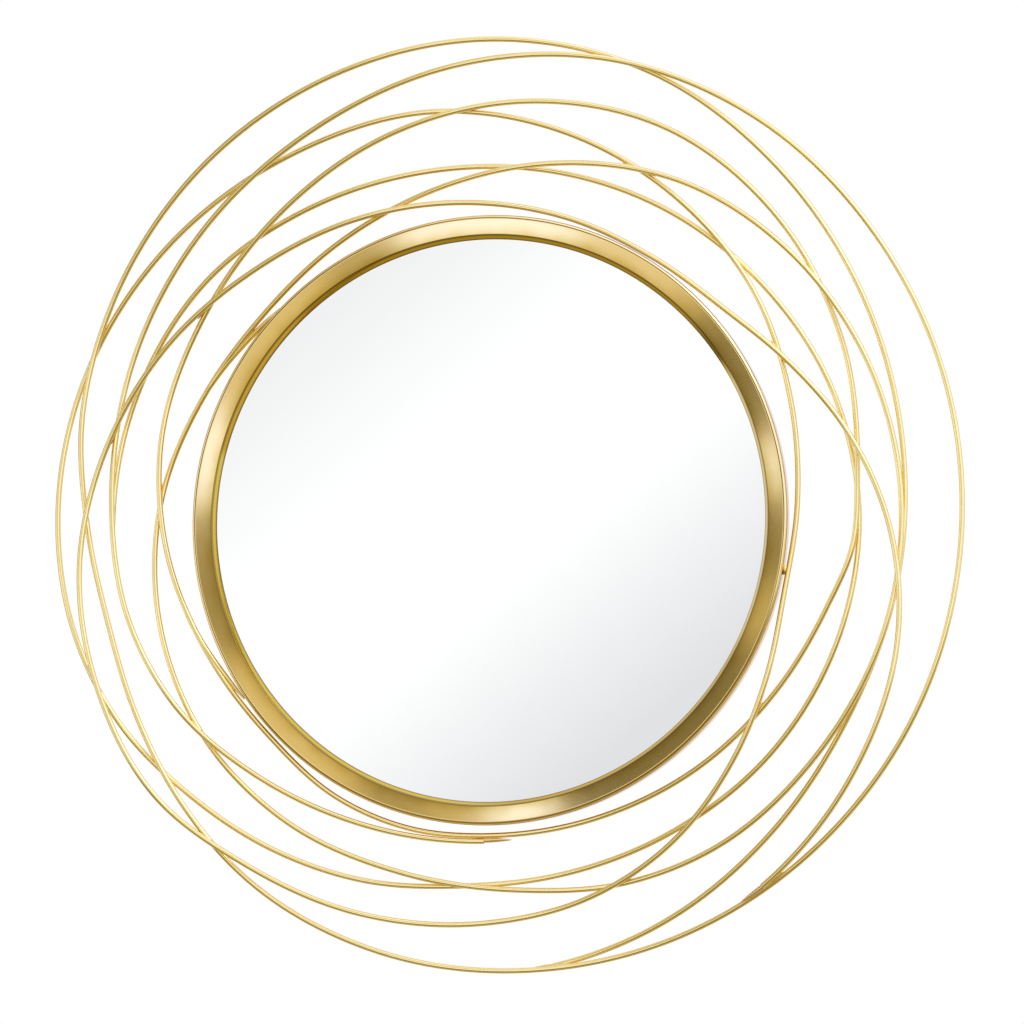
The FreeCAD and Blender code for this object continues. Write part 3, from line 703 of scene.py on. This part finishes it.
def spun(name, outline):
    """Spins a closed outline of (radius, y) points round the mirror's axis into a skin."""
    mesh = bpy.data.meshes.new(name)
    edges = [(n, (n + 1) % len(outline)) for n in range(len(outline))]
    mesh.from_pydata([(point.x, point.y, 0) for point in outline], edges, [])
    piece = bpy.data.objects.new(name, mesh)
    bpy.context.scene.collection.objects.link(piece)
    only(piece)
    bpy.ops.object.mode_set(mode="EDIT")
    bpy.ops.mesh.select_all(action="SELECT")
    bpy.ops.mesh.spin(steps=SPIN_STEPS, angle=math.tau, center=(0, 0, 0), axis=(0, 1, 0))
    bpy.ops.mesh.select_all(action="SELECT")
    bpy.ops.mesh.remove_doubles(threshold=SPIN_MERGE)
    bpy.ops.mesh.normals_make_consistent(inside=False)
    bpy.ops.object.mode_set(mode="OBJECT")
    return piece


# %% [markdown]
# A thin darker line of painted shade is drawn where the face turns into the roll, in the crease
# before the bevel, where the bevel meets the glass, and on the wall behind the roll. Behind
# that line the wall is painted a deeper gold for some way, also as painted shade. The lines are
# drawn in the ring's material by a point's distance from the axis and its depth.

# %% Painted shade on the ring
# Painted shade: the dark tone of the thin lines in the ring's creases, at the glass and behind
# the roll
CREASE_SHADE_TONE = (0.30, 0.18, 0.025, 1)
# Painted shade: a deeper gold band on the wall for some way behind the roll
WALL_SHADE_TONE = (0.62, 0.38, 0.02, 1)
# Each line of painted shade: its middle, half its width and its tone
FACE_SHADE_LINES = (
    (RING_RADIUS - 2.5 * MM, 0.6 * MM, CREASE_SHADE_TONE),
    (SIGHT_RADIUS + BEVEL_WIDTH + 0.2 * MM, 0.55 * MM, CREASE_SHADE_TONE),
    (SIGHT_RADIUS + 0.35 * MM, 0.7 * MM, CREASE_SHADE_TONE),
)
WALL_SHADE_LINES = (
    (RING_FRONT + 6.5 * MM, 5.0 * MM, WALL_SHADE_TONE),
    (RING_FRONT + ROLL_RADIUS + 0.6 * MM, 0.7 * MM, CREASE_SHADE_TONE),
)


def paint_ring_shade(material):
    """Paints shade into the ring's gold along its creases and behind its roll."""
    tree = material.node_tree
    shader = tree.nodes["Principled BSDF"]
    colour = shader.inputs["Base Color"].links[0].from_socket
    place = object_coordinates(tree)
    flat = add_node(tree, "ShaderNodeVectorMath", operation="MULTIPLY", Vector=place)
    flat.inputs[1].default_value = (1, 0, 1)
    radius = add_node(tree, "ShaderNodeVectorMath", operation="LENGTH",
                      Vector=flat.outputs["Vector"]).outputs["Value"]
    depth = add_node(tree, "ShaderNodeSeparateXYZ", Vector=place).outputs["Y"]
    lines = [(depth, *row) for row in WALL_SHADE_LINES] + [(radius, *row) for row in FACE_SHADE_LINES]
    # Each line mixes painted shade into the gold
    for value, middle, half, tone in lines:
        line = add_node(tree, "ShaderNodeGroup", node_tree=PAINTED_SHADE_LINE, Value=value,
                        Middle=middle, Half_Width=half)
        colour = mix_colours(tree, line.outputs["Mask"], colour, tone)
    link(tree, colour, shader.inputs["Base Color"])


paint_ring_shade(RING_GOLD)
ring = spun("ring", ring_section())
smooth(ring, RING_SHARP)
finish_piece(ring, "frame_ring_rolled", "mirror", RING_GOLD, ["frame_ring"])
print("ring: %d faces" % len(ring.data.polygons))

# %% [markdown]
# The glass is a disc whose rim is ground to a small arris. A mirror shows from its silver
# coat, so the front is a near perfect reflector with the faint green of float glass. The
# ground rim is green and rough, and the back has grey protective paint.

# %% Glass
GLASS_LOW, GLASS_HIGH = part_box("mirror_glass")
GLASS_RADIUS = GLASS_HIGH.x
GLASS_SIDES = 256
ARRIS = 0.6 * MM
GRAIN_DEPTH = 0.2 * MM
SILVER_TONE = (0.955, 0.965, 0.962, 1)
SILVER_SECOND_TONE = (0.965, 0.970, 0.972, 1)
SILVER_ROUGHNESS = 0.012
SILVER_SCALE = 6.0


def silver_material():
    """A near perfect mirror, a little uneven in its tint."""
    material, tree, shader = new_material("silver")
    shader.inputs["Metallic"].default_value = 1.0
    shader.inputs["Roughness"].default_value = SILVER_ROUGHNESS
    tint = add_node(tree, "ShaderNodeTexNoise", Vector=object_coordinates(tree),
                    Scale=SILVER_SCALE, Detail=2.0)
    link(tree, mix_colours(tree, tint.outputs["Fac"], SILVER_TONE, SILVER_SECOND_TONE),
         shader.inputs["Base Color"])
    return material


def plain_material(name, first, second, scale, roughness, bump, detail=4.0):
    """A dull material of two tones in fine noise, with a slight relief."""
    material, tree, shader = new_material(name)
    grain = add_node(tree, "ShaderNodeTexNoise", Vector=object_coordinates(tree),
                     Scale=scale, Detail=detail).outputs["Fac"]
    link(tree, mix_colours(tree, grain, first, second), shader.inputs["Base Color"])
    link(tree, map_range(tree, grain, *roughness), shader.inputs["Roughness"])
    add_relief(tree, grain, bump, GRAIN_DEPTH)
    return material


SILVER = silver_material()
GLASS_EDGE = plain_material("glass_edge", (0.30, 0.46, 0.41, 1), (0.44, 0.58, 0.53, 1),
                            scale=400.0, roughness=(0.30, 0.5), bump=0.2)
BACK_PAINT = plain_material("back_paint", (0.20, 0.21, 0.22, 1), (0.26, 0.27, 0.28, 1),
                            scale=60.0, roughness=(0.5, 0.65), bump=0.1)


def build_glass():
    """A disc with a ground rim: silver in front, green glass at the rim, paint behind."""
    bpy.ops.mesh.primitive_cylinder_add(
        vertices=GLASS_SIDES, radius=GLASS_RADIUS, depth=GLASS_HIGH.y - GLASS_LOW.y,
        location=(0, (GLASS_LOW.y + GLASS_HIGH.y) / 2, 0), rotation=(math.radians(90), 0, 0))
    piece = bpy.context.object
    bpy.ops.object.transform_apply(location=True, rotation=True, scale=True)
    broken_edges(piece, ARRIS, segments=1)
    for material in (SILVER, GLASS_EDGE, BACK_PAINT):
        piece.data.materials.append(material)
    for face in piece.data.polygons:
        if abs(face.normal.y) < 0.9:
            face.material_index = 1
        elif face.normal.y > 0:
            face.material_index = 2
    finish_piece(piece, "mirror_pane", "mirror", None, ["mirror_glass"])


build_glass()
print("glass: radius %.1f mm" % (GLASS_RADIUS / MM))

# %% [markdown]
# Each wire of the spray is drawn as a curve through the same points as its solid, chosen
# round the photograph: an angle, clockwise from three o'clock, and the wire's share of
# the way from the ring's wall to the spray's edge. A second table says how far back it lies,
# so that crossing wires pass with a touch. The curve's handles follow the circle through
# each point and its two neighbours, and a round bevel gives it its thickness.

# %% Routes of the wires
INNER_LOOP_SHARES = (
    (-5, 0.427), (5, 0.395), (15, 0.300), (30, 0.206), (50, 0.123), (70, 0.061), (90, 0.041),
    (105, 0.058), (120, 0.052), (137, 0.017), (155, 0.058), (175, 0.162), (195, 0.268),
    (215, 0.342), (235, 0.457), (255, 0.599), (275, 0.714), (295, 0.764), (315, 0.693),
    (335, 0.566),
)
MIDDLE_LOOP_SHARES = (
    (-5, 0.705), (15, 0.702), (35, 0.649), (55, 0.596), (70, 0.508), (85, 0.398), (105, 0.342),
    (125, 0.356), (145, 0.351), (165, 0.297), (185, 0.209), (205, 0.094), (220, 0.049),
    (240, 0.085), (260, 0.185), (280, 0.339), (300, 0.504), (320, 0.608), (340, 0.678),
)
OUTER_WIND_SHARES = (
    (91, 0.079), (105, 0.103), (120, 0.162), (135, 0.259), (150, 0.389), (165, 0.477),
    (185, 0.531), (205, 0.613), (225, 0.705), (245, 0.808), (265, 0.947), (285, 1.059),
    (305, 1.100), (325, 1.102), (345, 1.106), (365, 1.094), (385, 1.071), (405, 1.021),
    (425, 0.965), (442, 0.914), (465, 0.861), (485, 0.799), (500, 0.717), (513, 0.652),
    (527, 0.622), (540, 0.684), (555, 0.814), (570, 0.908), (590, 1.015), (610, 1.083),
    (630, 1.106), (650, 1.056), (670, 0.929), (690, 0.820), (710, 0.743), (730, 0.702),
    (750, 0.684), (768, 0.743), (785, 0.826), (802, 0.894),
)
GREAT_WIND_SHARES = (
    (182, 0.528), (200, 0.519), (220, 0.483), (240, 0.386), (260, 0.315), (280, 0.294),
    (300, 0.303), (320, 0.331), (340, 0.386), (360, 0.421), (380, 0.418), (400, 0.392),
    (420, 0.348), (440, 0.336), (455, 0.362), (470, 0.457), (485, 0.554), (500, 0.661),
    (513, 0.780), (527, 0.861), (543, 0.891), (560, 0.879), (580, 0.823), (600, 0.749),
    (622, 0.681), (640, 0.557), (660, 0.407), (680, 0.268), (700, 0.120), (718, 0.038),
    (735, 0.017), (750, 0.114), (765, 0.259), (780, 0.418), (795, 0.531), (810, 0.594),
    (830, 0.669), (847, 0.728), (862, 0.819), (878, 0.802), (895, 0.733), (912, 0.593),
    (930, 0.429), (946, 0.280), (965, 0.165), (985, 0.073), (1005, 0.020), (1023, 0.004),
    (1040, 0.061), (1053, 0.206), (1067, 0.418), (1082, 0.640), (1097, 0.809), (1115, 0.917),
    (1133, 0.982),
)
INNER_LOOP_DEPTH_SHARES = ((-5, 1.5), (40, 1.42), (195, 0.88), (335, 1.55), (355, 1.5))
MIDDLE_LOOP_DEPTH_SHARES = (
    (-5, 0.93), (75, 1.33), (185, 1.95), (315, 0.4), (335, 0.6), (355, 0.93),
)
OUTER_WIND_DEPTH_SHARES = (
    (91, 0.3), (190, 1.0), (305, 0.84), (504, 1.5), (565, 1.52), (802, 2.5),
)
GREAT_WIND_DEPTH_SHARES = ((182, 2.5), (605, 2.5), (745, 0.45), (895, 0.0), (1133, 0.0))
# Each wire's name, its two tables, and the angles between which it is cut from its wind
WIRES = (
    ("wire_inner_loop", INNER_LOOP_SHARES, INNER_LOOP_DEPTH_SHARES, None),
    ("wire_middle_loop", MIDDLE_LOOP_SHARES, MIDDLE_LOOP_DEPTH_SHARES, None),
    ("wire_outer_wind_start", OUTER_WIND_SHARES, OUTER_WIND_DEPTH_SHARES, (91, 442)),
    ("wire_outer_wind_end", OUTER_WIND_SHARES, OUTER_WIND_DEPTH_SHARES, (442, 802)),
    ("wire_long_wind_start", GREAT_WIND_SHARES, GREAT_WIND_DEPTH_SHARES, (182, 543)),
    ("wire_long_wind_middle", GREAT_WIND_SHARES, GREAT_WIND_DEPTH_SHARES, (543, 878)),
    ("wire_long_wind_end", GREAT_WIND_SHARES, GREAT_WIND_DEPTH_SHARES, (878, 1133)),
)
SPRAY_WIDTH = 138.0 * MM
WIRE_RADIUS = 2.4 * MM
WIRE_TOUCHING = WIRE_RADIUS + 0.1 * MM
LAYER = 5.0 * MM
FRONT_LAYER = RING_FRONT + 4.4 * MM
WIRE_STEPS = 14
WIRE_SIDES = 8
WIRE_SHARP = 50


def steady(table, angle):
    """The value that a table of (angle, value) rows gives at an angle, by straight lines."""
    for (low, first), (high, second) in zip(table, table[1:]):
        if angle <= high:
            return first + (second - first) * (angle - low) / (high - low)
    return table[-1][1]


def wire_point(angle, share, depth_share):
    """A point of a wire's axis from its angle and its two shares."""
    turn = math.radians(angle)
    radius = RING_RADIUS + WIRE_TOUCHING + share * (SPRAY_WIDTH - WIRE_TOUCHING)
    return Vector((radius * math.cos(turn), FRONT_LAYER + depth_share * LAYER,
                   -radius * math.sin(turn)))


def middle_tangent(before, point, after):
    """The direction at a point of the circle through it and its two neighbours."""
    back, ahead = point - before, after - point
    return (back / back.length_squared + ahead / ahead.length_squared).normalized()


def end_tangent(end, inner, inner_tangent):
    """The direction at a wire's end, on the circle that its next point's direction gives."""
    chord = (inner - end).normalized()
    return chord * (2 * inner_tangent.dot(chord)) - inner_tangent


def route(shares, depths, span):
    """Points and directions of one wire."""
    points = [wire_point(angle, share, steady(depths, angle)) for angle, share in shares]
    count = len(points)
    tangents = [middle_tangent(points[n - 1], points[n], points[(n + 1) % count])
                for n in range(count)]
    if span is None:
        return points, tangents
    tangents[0] = end_tangent(points[0], points[1], tangents[1])
    tangents[-1] = -end_tangent(points[-1], points[-2], -tangents[-2])
    kept = [n for n in range(count) if span[0] <= shares[n][0] <= span[1]]
    return [points[n] for n in kept], [tangents[n] for n in kept]


def wire_mesh(name, knots, closed, radius):
    """A round wire as a mesh. A knot is its place, its two handles and its thickness."""
    curve = bpy.data.curves.new(name, "CURVE")
    curve.dimensions = "3D"
    spline = curve.splines.new("BEZIER")
    spline.bezier_points.add(len(knots) - 1)
    spline.use_cyclic_u = closed
    for point, (place, before, after, thickness) in zip(spline.bezier_points, knots):
        point.co = place
        point.handle_left_type = "FREE"
        point.handle_right_type = "FREE"
        point.handle_left = before
        point.handle_right = after
        point.radius = thickness
    spline.resolution_u = WIRE_STEPS
    curve.bevel_depth = radius
    curve.bevel_resolution = WIRE_SIDES
    curve.use_fill_caps = True
    piece = bpy.data.objects.new(name, curve)
    bpy.context.scene.collection.objects.link(piece)
    only(piece)
    bpy.ops.object.convert(target="MESH")
    return bpy.context.object


def wire_along(name, points, tangents, closed, thickness=None):
    """A wire through points, whose handles reach a third of the way to the next point."""
    count = len(points)
    knots = []
    for n, (point, tangent) in enumerate(zip(points, tangents)):
        before = points[n - 1] if closed or n else point
        after = points[(n + 1) % count] if closed or n < count - 1 else point
        knots.append((point, point - tangent * ((point - before).length / 3),
                      point + tangent * ((after - point).length / 3),
                      thickness[n] if thickness else 1.0))
    return wire_mesh(name, knots, closed, WIRE_RADIUS)


# %% Wires
wire_routes = {}
for name, shares, depths, span in WIRES:
    points, tangents = route(shares, depths, span)
    wire_routes[name] = (points, tangents, span is None)
    wire = wire_along(name, points, tangents, span is None)
    smooth(wire, WIRE_SHARP)
    finish_piece(wire, name + "_drawn", "mirror", WIRE_GOLD, [name])
    print("%s: %d faces" % (name, len(wire.data.polygons)))

# %% [markdown]
# Where two wires touch they are brazed: a little gold metal is drawn into the nip between
# them and leaves a flat bead. The places are found by measuring how near the wires' axes
# pass each other. One bead is modelled, as a ball with its ends drawn out, and copied to each
# place: pressed between the wires, and the longer the lower the angle at which they cross.
# At a wire's free end the same bead runs on along the neighbour, so that the end thins out
# on it instead of stopping in a flat cut.

# %% Welds
SAMPLE_STEP = 1.5 * MM
TOUCH_LIMIT = 2 * WIRE_RADIUS + 1.6 * MM
LONGEST_BEAD = 16 * MM
LEAST_HALF_ANGLE = 0.02
BEAD_WIDTH = 1.7 * MM
BEAD_HEIGHT = 2.1 * MM
BEAD_SPARE = 0.9 * MM
LUMP_SCALE = 130.0
LUMP_SHARE = 0.08
BEAD_SIDES = 20
BEAD_RINGS = 16
# How much slimmer a bead is at its ends, and how late along it that shows
BEAD_SLIMMER = 0.45
BEAD_LATE = 1.5
END_BEAD_HALF = 24.0 * MM
END_BEAD_SIDE = 2.3 * MM
END_REACH = 8.0 * MM
END_SHIFT = 0.18
WELD_SHARP = 60


def sampled(points, tangents, closed):
    """Places and directions along a wire's axis, at even steps."""
    found = []
    count = len(points)
    for n in range(count if closed else count - 1):
        start, end = points[n], points[(n + 1) % count]
        reach = (end - start).length / 3
        leave = start + tangents[n] * reach
        arrive = end - tangents[(n + 1) % count] * reach
        steps = max(2, round((end - start).length / SAMPLE_STEP))
        for step in range(steps):
            t = step / steps
            u = 1 - t
            spot = (start * u ** 3 + leave * (3 * u * u * t) + arrive * (3 * u * t * t)
                    + end * t ** 3)
            heading = ((leave - start) * (u * u) + (arrive - leave) * (2 * u * t)
                       + (end - arrive) * (t * t)).normalized()
            found.append((spot, heading))
    return found


def touching_places(lines):
    """Where two wires touch: middle, mean heading, direction across, half their angle."""
    names = list(lines)
    places = []
    for row, first in enumerate(names):
        tree = kdtree.KDTree(len(lines[first]))
        for index, (spot, _) in enumerate(lines[first]):
            tree.insert(spot, index)
        tree.balance()
        for second in names[row + 1:]:
            near = [(*tree.find(spot)[1:], spot, heading) for spot, heading in lines[second]]
            for before, (index, distance, spot, heading), after in zip(
                    near, near[1:], near[2:]):
                lowest = distance <= before[1] and distance < after[1]
                if lowest and distance < TOUCH_LIMIT:
                    other, other_heading = lines[first][index]
                    side = 1 if heading.dot(other_heading) > 0 else -1
                    along = heading + other_heading * side
                    half_angle = max(heading.angle(along), LEAST_HALF_ANGLE)
                    places.append(((spot + other) / 2, along.normalized(),
                                   (spot - other).normalized(), half_angle))
    return places


def free_ends(lines):
    """Where a wire ends on a neighbour: the end, the neighbour's nearest spot and heading."""
    found = []
    for name, (points, tangents, closed) in wire_routes.items():
        for end in () if closed else (0, -1):
            near = [((spot - points[end]).length, spot, heading)
                    for other, line in lines.items() if other != name
                    for spot, heading in line]
            distance, spot, heading = min(near, key=lambda row: row[0])
            if WIRE_RADIUS < distance < END_REACH:
                found.append((points[end], spot, heading))
    return found


def model_bead():
    """One bead of unit size, made once: a ball with its two ends drawn out to soft points."""
    bpy.ops.object.select_all(action="DESELECT")
    bpy.ops.mesh.primitive_uv_sphere_add(segments=BEAD_SIDES, ring_count=BEAD_RINGS,
                                         radius=1.0, rotation=(0, math.radians(90), 0))
    bead = bpy.context.object
    bpy.ops.object.transform_apply(location=True, rotation=True, scale=True)
    for vertex in bead.data.vertices:
        point = vertex.co
        slim = 1 - BEAD_SLIMMER * abs(point.x) ** BEAD_LATE
        vertex.co = (point.x, point.y * slim, point.z * slim)
    return bead


bead_pattern = model_bead()


def placed_bead(middle, *half_axes):
    """A copy of the bead at a place, stretched to three half axes."""
    bead = bpy.data.objects.new("bead", bead_pattern.data.copy())
    bpy.context.scene.collection.objects.link(bead)
    shape = Matrix(half_axes).transposed().to_4x4()
    bead.data.transform(Matrix.Translation(middle) @ shape)
    return bead


def build_welds():
    """Copies the bead to each touching place and each free end."""
    lines = {name: sampled(*wire_route) for name, wire_route in wire_routes.items()}
    beads = []
    for middle, along, across, half_angle in touching_places(lines):
        length = min((WIRE_RADIUS + BEAD_SPARE) / math.tan(half_angle), LONGEST_BEAD)
        side = along.cross(across).normalized()
        bead = placed_bead(middle, along * length, side * BEAD_WIDTH, across * BEAD_HEIGHT)
        for vertex in bead.data.vertices:
            lump = noise.noise(vertex.co * LUMP_SCALE)
            vertex.co += (vertex.co - middle) * (LUMP_SHARE * lump)
        beads.append(bead)
    ends = free_ends(lines)
    for end, spot, heading in ends:
        side = (spot - end).cross(heading).normalized()
        beads.append(placed_bead(end.lerp(spot, END_SHIFT), heading * END_BEAD_HALF,
                                 side * END_BEAD_SIDE, heading.cross(side) * END_BEAD_SIDE))
    piece = joined(beads)
    smooth(piece, WELD_SHARP)
    finish_piece(piece, "wire_welds", "mirror", WELD_GOLD)
    print("beads:", len(beads), "of them at free ends:", len(ends))


build_welds()

# %% [markdown]
# Where a wire comes down to the ring, a short rod joins them. Two of them lean: they leave
# the wire like a spur and run out on the ring's wall, with their ends ground to a taper, so
# they are drawn as curves like the wires. The upright one on the right is so short that a
# drop of braze hides it.

# %% Stubs
SPURS = (
    (((205, 0.094), (210, 0.064), (215, 0.034), (219, 0.014), (222, 0.003), (225, -0.007)),
     ((205, 1.70), (225, 1.63))),
    (((164, 0.101), (160, 0.078), (156, 0.052), (152, 0.027), (149, 0.010), (145.5, -0.006)),
     ((145.5, 1.01), (164, 1.01))),
)
# How thick a spur is at its last two points, as shares of the wire
SPUR_TAPER = (0.8, 0.35)
STUB_EDGE = 0.3 * MM
# Half the drop of braze: along the ring's wall, out from it, and in depth
DROP_HALVES = (4.5 * MM, 1.5 * MM, 1.8 * MM)


def spur(name, shares, depths):
    """A short wire that is ground thinner towards its last end."""
    points, tangents = route(shares, depths, (0, 360))
    thickness = [1.0] * (len(points) - len(SPUR_TAPER)) + list(SPUR_TAPER)
    return wire_along(name, points, tangents, False, thickness)


def upright_stub():
    """The stub on the right alone, from the model, with its edges broken."""
    stub = broken_edges(merged_copy("wire_stubs"), STUB_EDGE)
    bpy.ops.object.mode_set(mode="EDIT")
    bpy.ops.mesh.select_all(action="DESELECT")
    bpy.ops.object.mode_set(mode="OBJECT")
    for vertex in stub.data.vertices:
        vertex.select = vertex.co.x < 0
    bpy.ops.object.mode_set(mode="EDIT")
    bpy.ops.mesh.delete(type="VERT")
    bpy.ops.object.mode_set(mode="OBJECT")
    return stub


def build_stubs():
    """The two spurs, and the upright stub in its drop of braze."""
    stub = upright_stub()
    spots = [vertex.co for vertex in stub.data.vertices]
    middle = sum(spots, Vector()) / len(spots)
    outward = Vector((middle.x, 0, middle.z)).normalized()
    depthwise = Vector((0, 1, 0))
    along, tall, deep = DROP_HALVES
    drop = placed_bead(middle, depthwise.cross(outward) * along, outward * tall,
                       depthwise * deep)
    spurs = [spur("spur_%d" % place, *rows) for place, rows in enumerate(SPURS)]
    piece = joined([stub, drop] + spurs)
    smooth(piece, WELD_SHARP)
    finish_piece(piece, "wire_stubs_welded", "mirror", WIRE_GOLD, ["wire_stubs"])
    print("stubs: %d faces" % len(piece.data.polygons))


build_stubs()
bpy.data.objects.remove(bead_pattern)

# %% [markdown]
# Behind the glass there is foam tape and a board. The board's faces are covered with black
# backing paper and its rim shows the brown fibre.

# %% Tape and board
TAPE_EDGE = 0.15 * MM
BOARD_EDGE = 0.12 * MM
FOAM = plain_material("foam", (0.80, 0.80, 0.77, 1), (0.90, 0.90, 0.88, 1),
                      scale=900.0, roughness=(0.75, 0.9), bump=0.5)
PAPER = plain_material("paper", (0.012, 0.012, 0.012, 1), (0.030, 0.029, 0.028, 1),
                       scale=260.0, roughness=(0.6, 0.8), bump=0.35, detail=8.0)
FIBRE = plain_material("fibre", (0.28, 0.18, 0.10, 1), (0.42, 0.29, 0.17, 1),
                       scale=700.0, roughness=(0.7, 0.9), bump=0.6, detail=8.0)

tape = broken_edges(merged_copy("glass_tape"), TAPE_EDGE, segments=1)
finish_piece(tape, "glass_tape_strips", "mirror", FOAM, ["glass_tape"])

board = broken_edges(merged_copy("backing_board"), BOARD_EDGE, segments=1)
board.data.materials.append(PAPER)
board.data.materials.append(FIBRE)
for face in board.data.polygons:
    if abs(face.normal.y) < 0.95:
        face.material_index = 1
finish_piece(board, "backing_board_papered", "mirror", None, ["backing_board"])
print("tape: %d faces, board: %d faces" % (len(tape.data.polygons), len(board.data.polygons)))

# %% [markdown]
# The hardware is bright zinc. Lugs, straps and screws are already right as solids, so they are
# only given broken edges, which is what tells cut and pressed metal from a drawing of it. The
# bumpers are soft clear plastic that has gone a little milky.

# %% Hardware
HARDWARE_EDGES = (
    ("frame_lugs", 0.25 * MM), ("lug_screws", 0.12 * MM), ("hanger_strap_left", 0.2 * MM),
    ("hanger_strap_right", 0.2 * MM), ("hanger_screws", 0.12 * MM),
)
BUMPER_EDGE = 0.4 * MM

for node, edge in HARDWARE_EDGES:
    piece = broken_edges(merged_copy(node), edge)
    finish_piece(piece, node + "_zinc", "mirror", ZINC, [node])
    print("%s: %d faces" % (node, len(piece.data.polygons)))

BUMPER = plain_material("bumper", (0.62, 0.63, 0.61, 1), (0.72, 0.73, 0.71, 1),
                        scale=120.0, roughness=(0.35, 0.5), bump=0.1)
bumpers = broken_edges(merged_copy("wall_bumpers"), BUMPER_EDGE, segments=3)
finish_piece(bumpers, "wall_bumpers_soft", "mirror", BUMPER, ["wall_bumpers"])
print("bumpers: %d faces" % len(bumpers.data.polygons))

# %% [markdown]
# A hanging ring is bent from one round wire and closed by a butt weld in its bar. It is a
# curve again: straight bar, two tight bends, two short legs and a half circle.

# %% Hanging rings
HANGER_WIRE_RADIUS = 1.5 * MM
HANGER_CORNER = 4.0 * MM
HANGER_LEG = 6.0 * MM
# How far the handles of a quarter circle reach, as a share of its radius
ARC_HANDLE = 4 / 3 * math.tan(math.radians(90) / 4)


def hanging_ring(node, body):
    """The bent ring of one hanger, from the box of its node."""
    low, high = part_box(node)
    middle = Vector(((low.x + high.x) / 2, (low.y + high.y) / 2, high.z - HANGER_WIRE_RADIUS))
    half = (high.x - low.x) / 2 - HANGER_WIRE_RADIUS
    down = HANGER_CORNER + HANGER_LEG
    # Each bend's place across and down, its heading, and the radii before and after it
    bends = (
        ((HANGER_CORNER - half, 0), (1, 0), HANGER_CORNER, 0),
        ((half - HANGER_CORNER, 0), (1, 0), 0, HANGER_CORNER),
        ((half, HANGER_CORNER), (0, 1), HANGER_CORNER, 0),
        ((half, down), (0, 1), 0, half),
        ((0, down + half), (-1, 0), half, half),
        ((-half, down), (0, -1), half, 0),
        ((-half, HANGER_CORNER), (0, -1), 0, HANGER_CORNER),
    )
    knots = []
    for (across, below), (right, fall), before, after in bends:
        place = middle + Vector((across, 0, -below))
        heading = Vector((right, 0, -fall))
        knots.append((place, place - heading * (before * ARC_HANDLE or HANGER_LEG / 3),
                      place + heading * (after * ARC_HANDLE or HANGER_LEG / 3), 1.0))
    piece = wire_mesh(node, knots, True, HANGER_WIRE_RADIUS)
    smooth(piece, WIRE_SHARP)
    finish_piece(piece, node + "_bent", body, ZINC, [node])
    print("%s: %d faces" % (node, len(piece.data.polygons)))


hanging_ring("hanging_ring_left", "left_hanging_ring")
hanging_ring("hanging_ring_right", "right_hanging_ring")
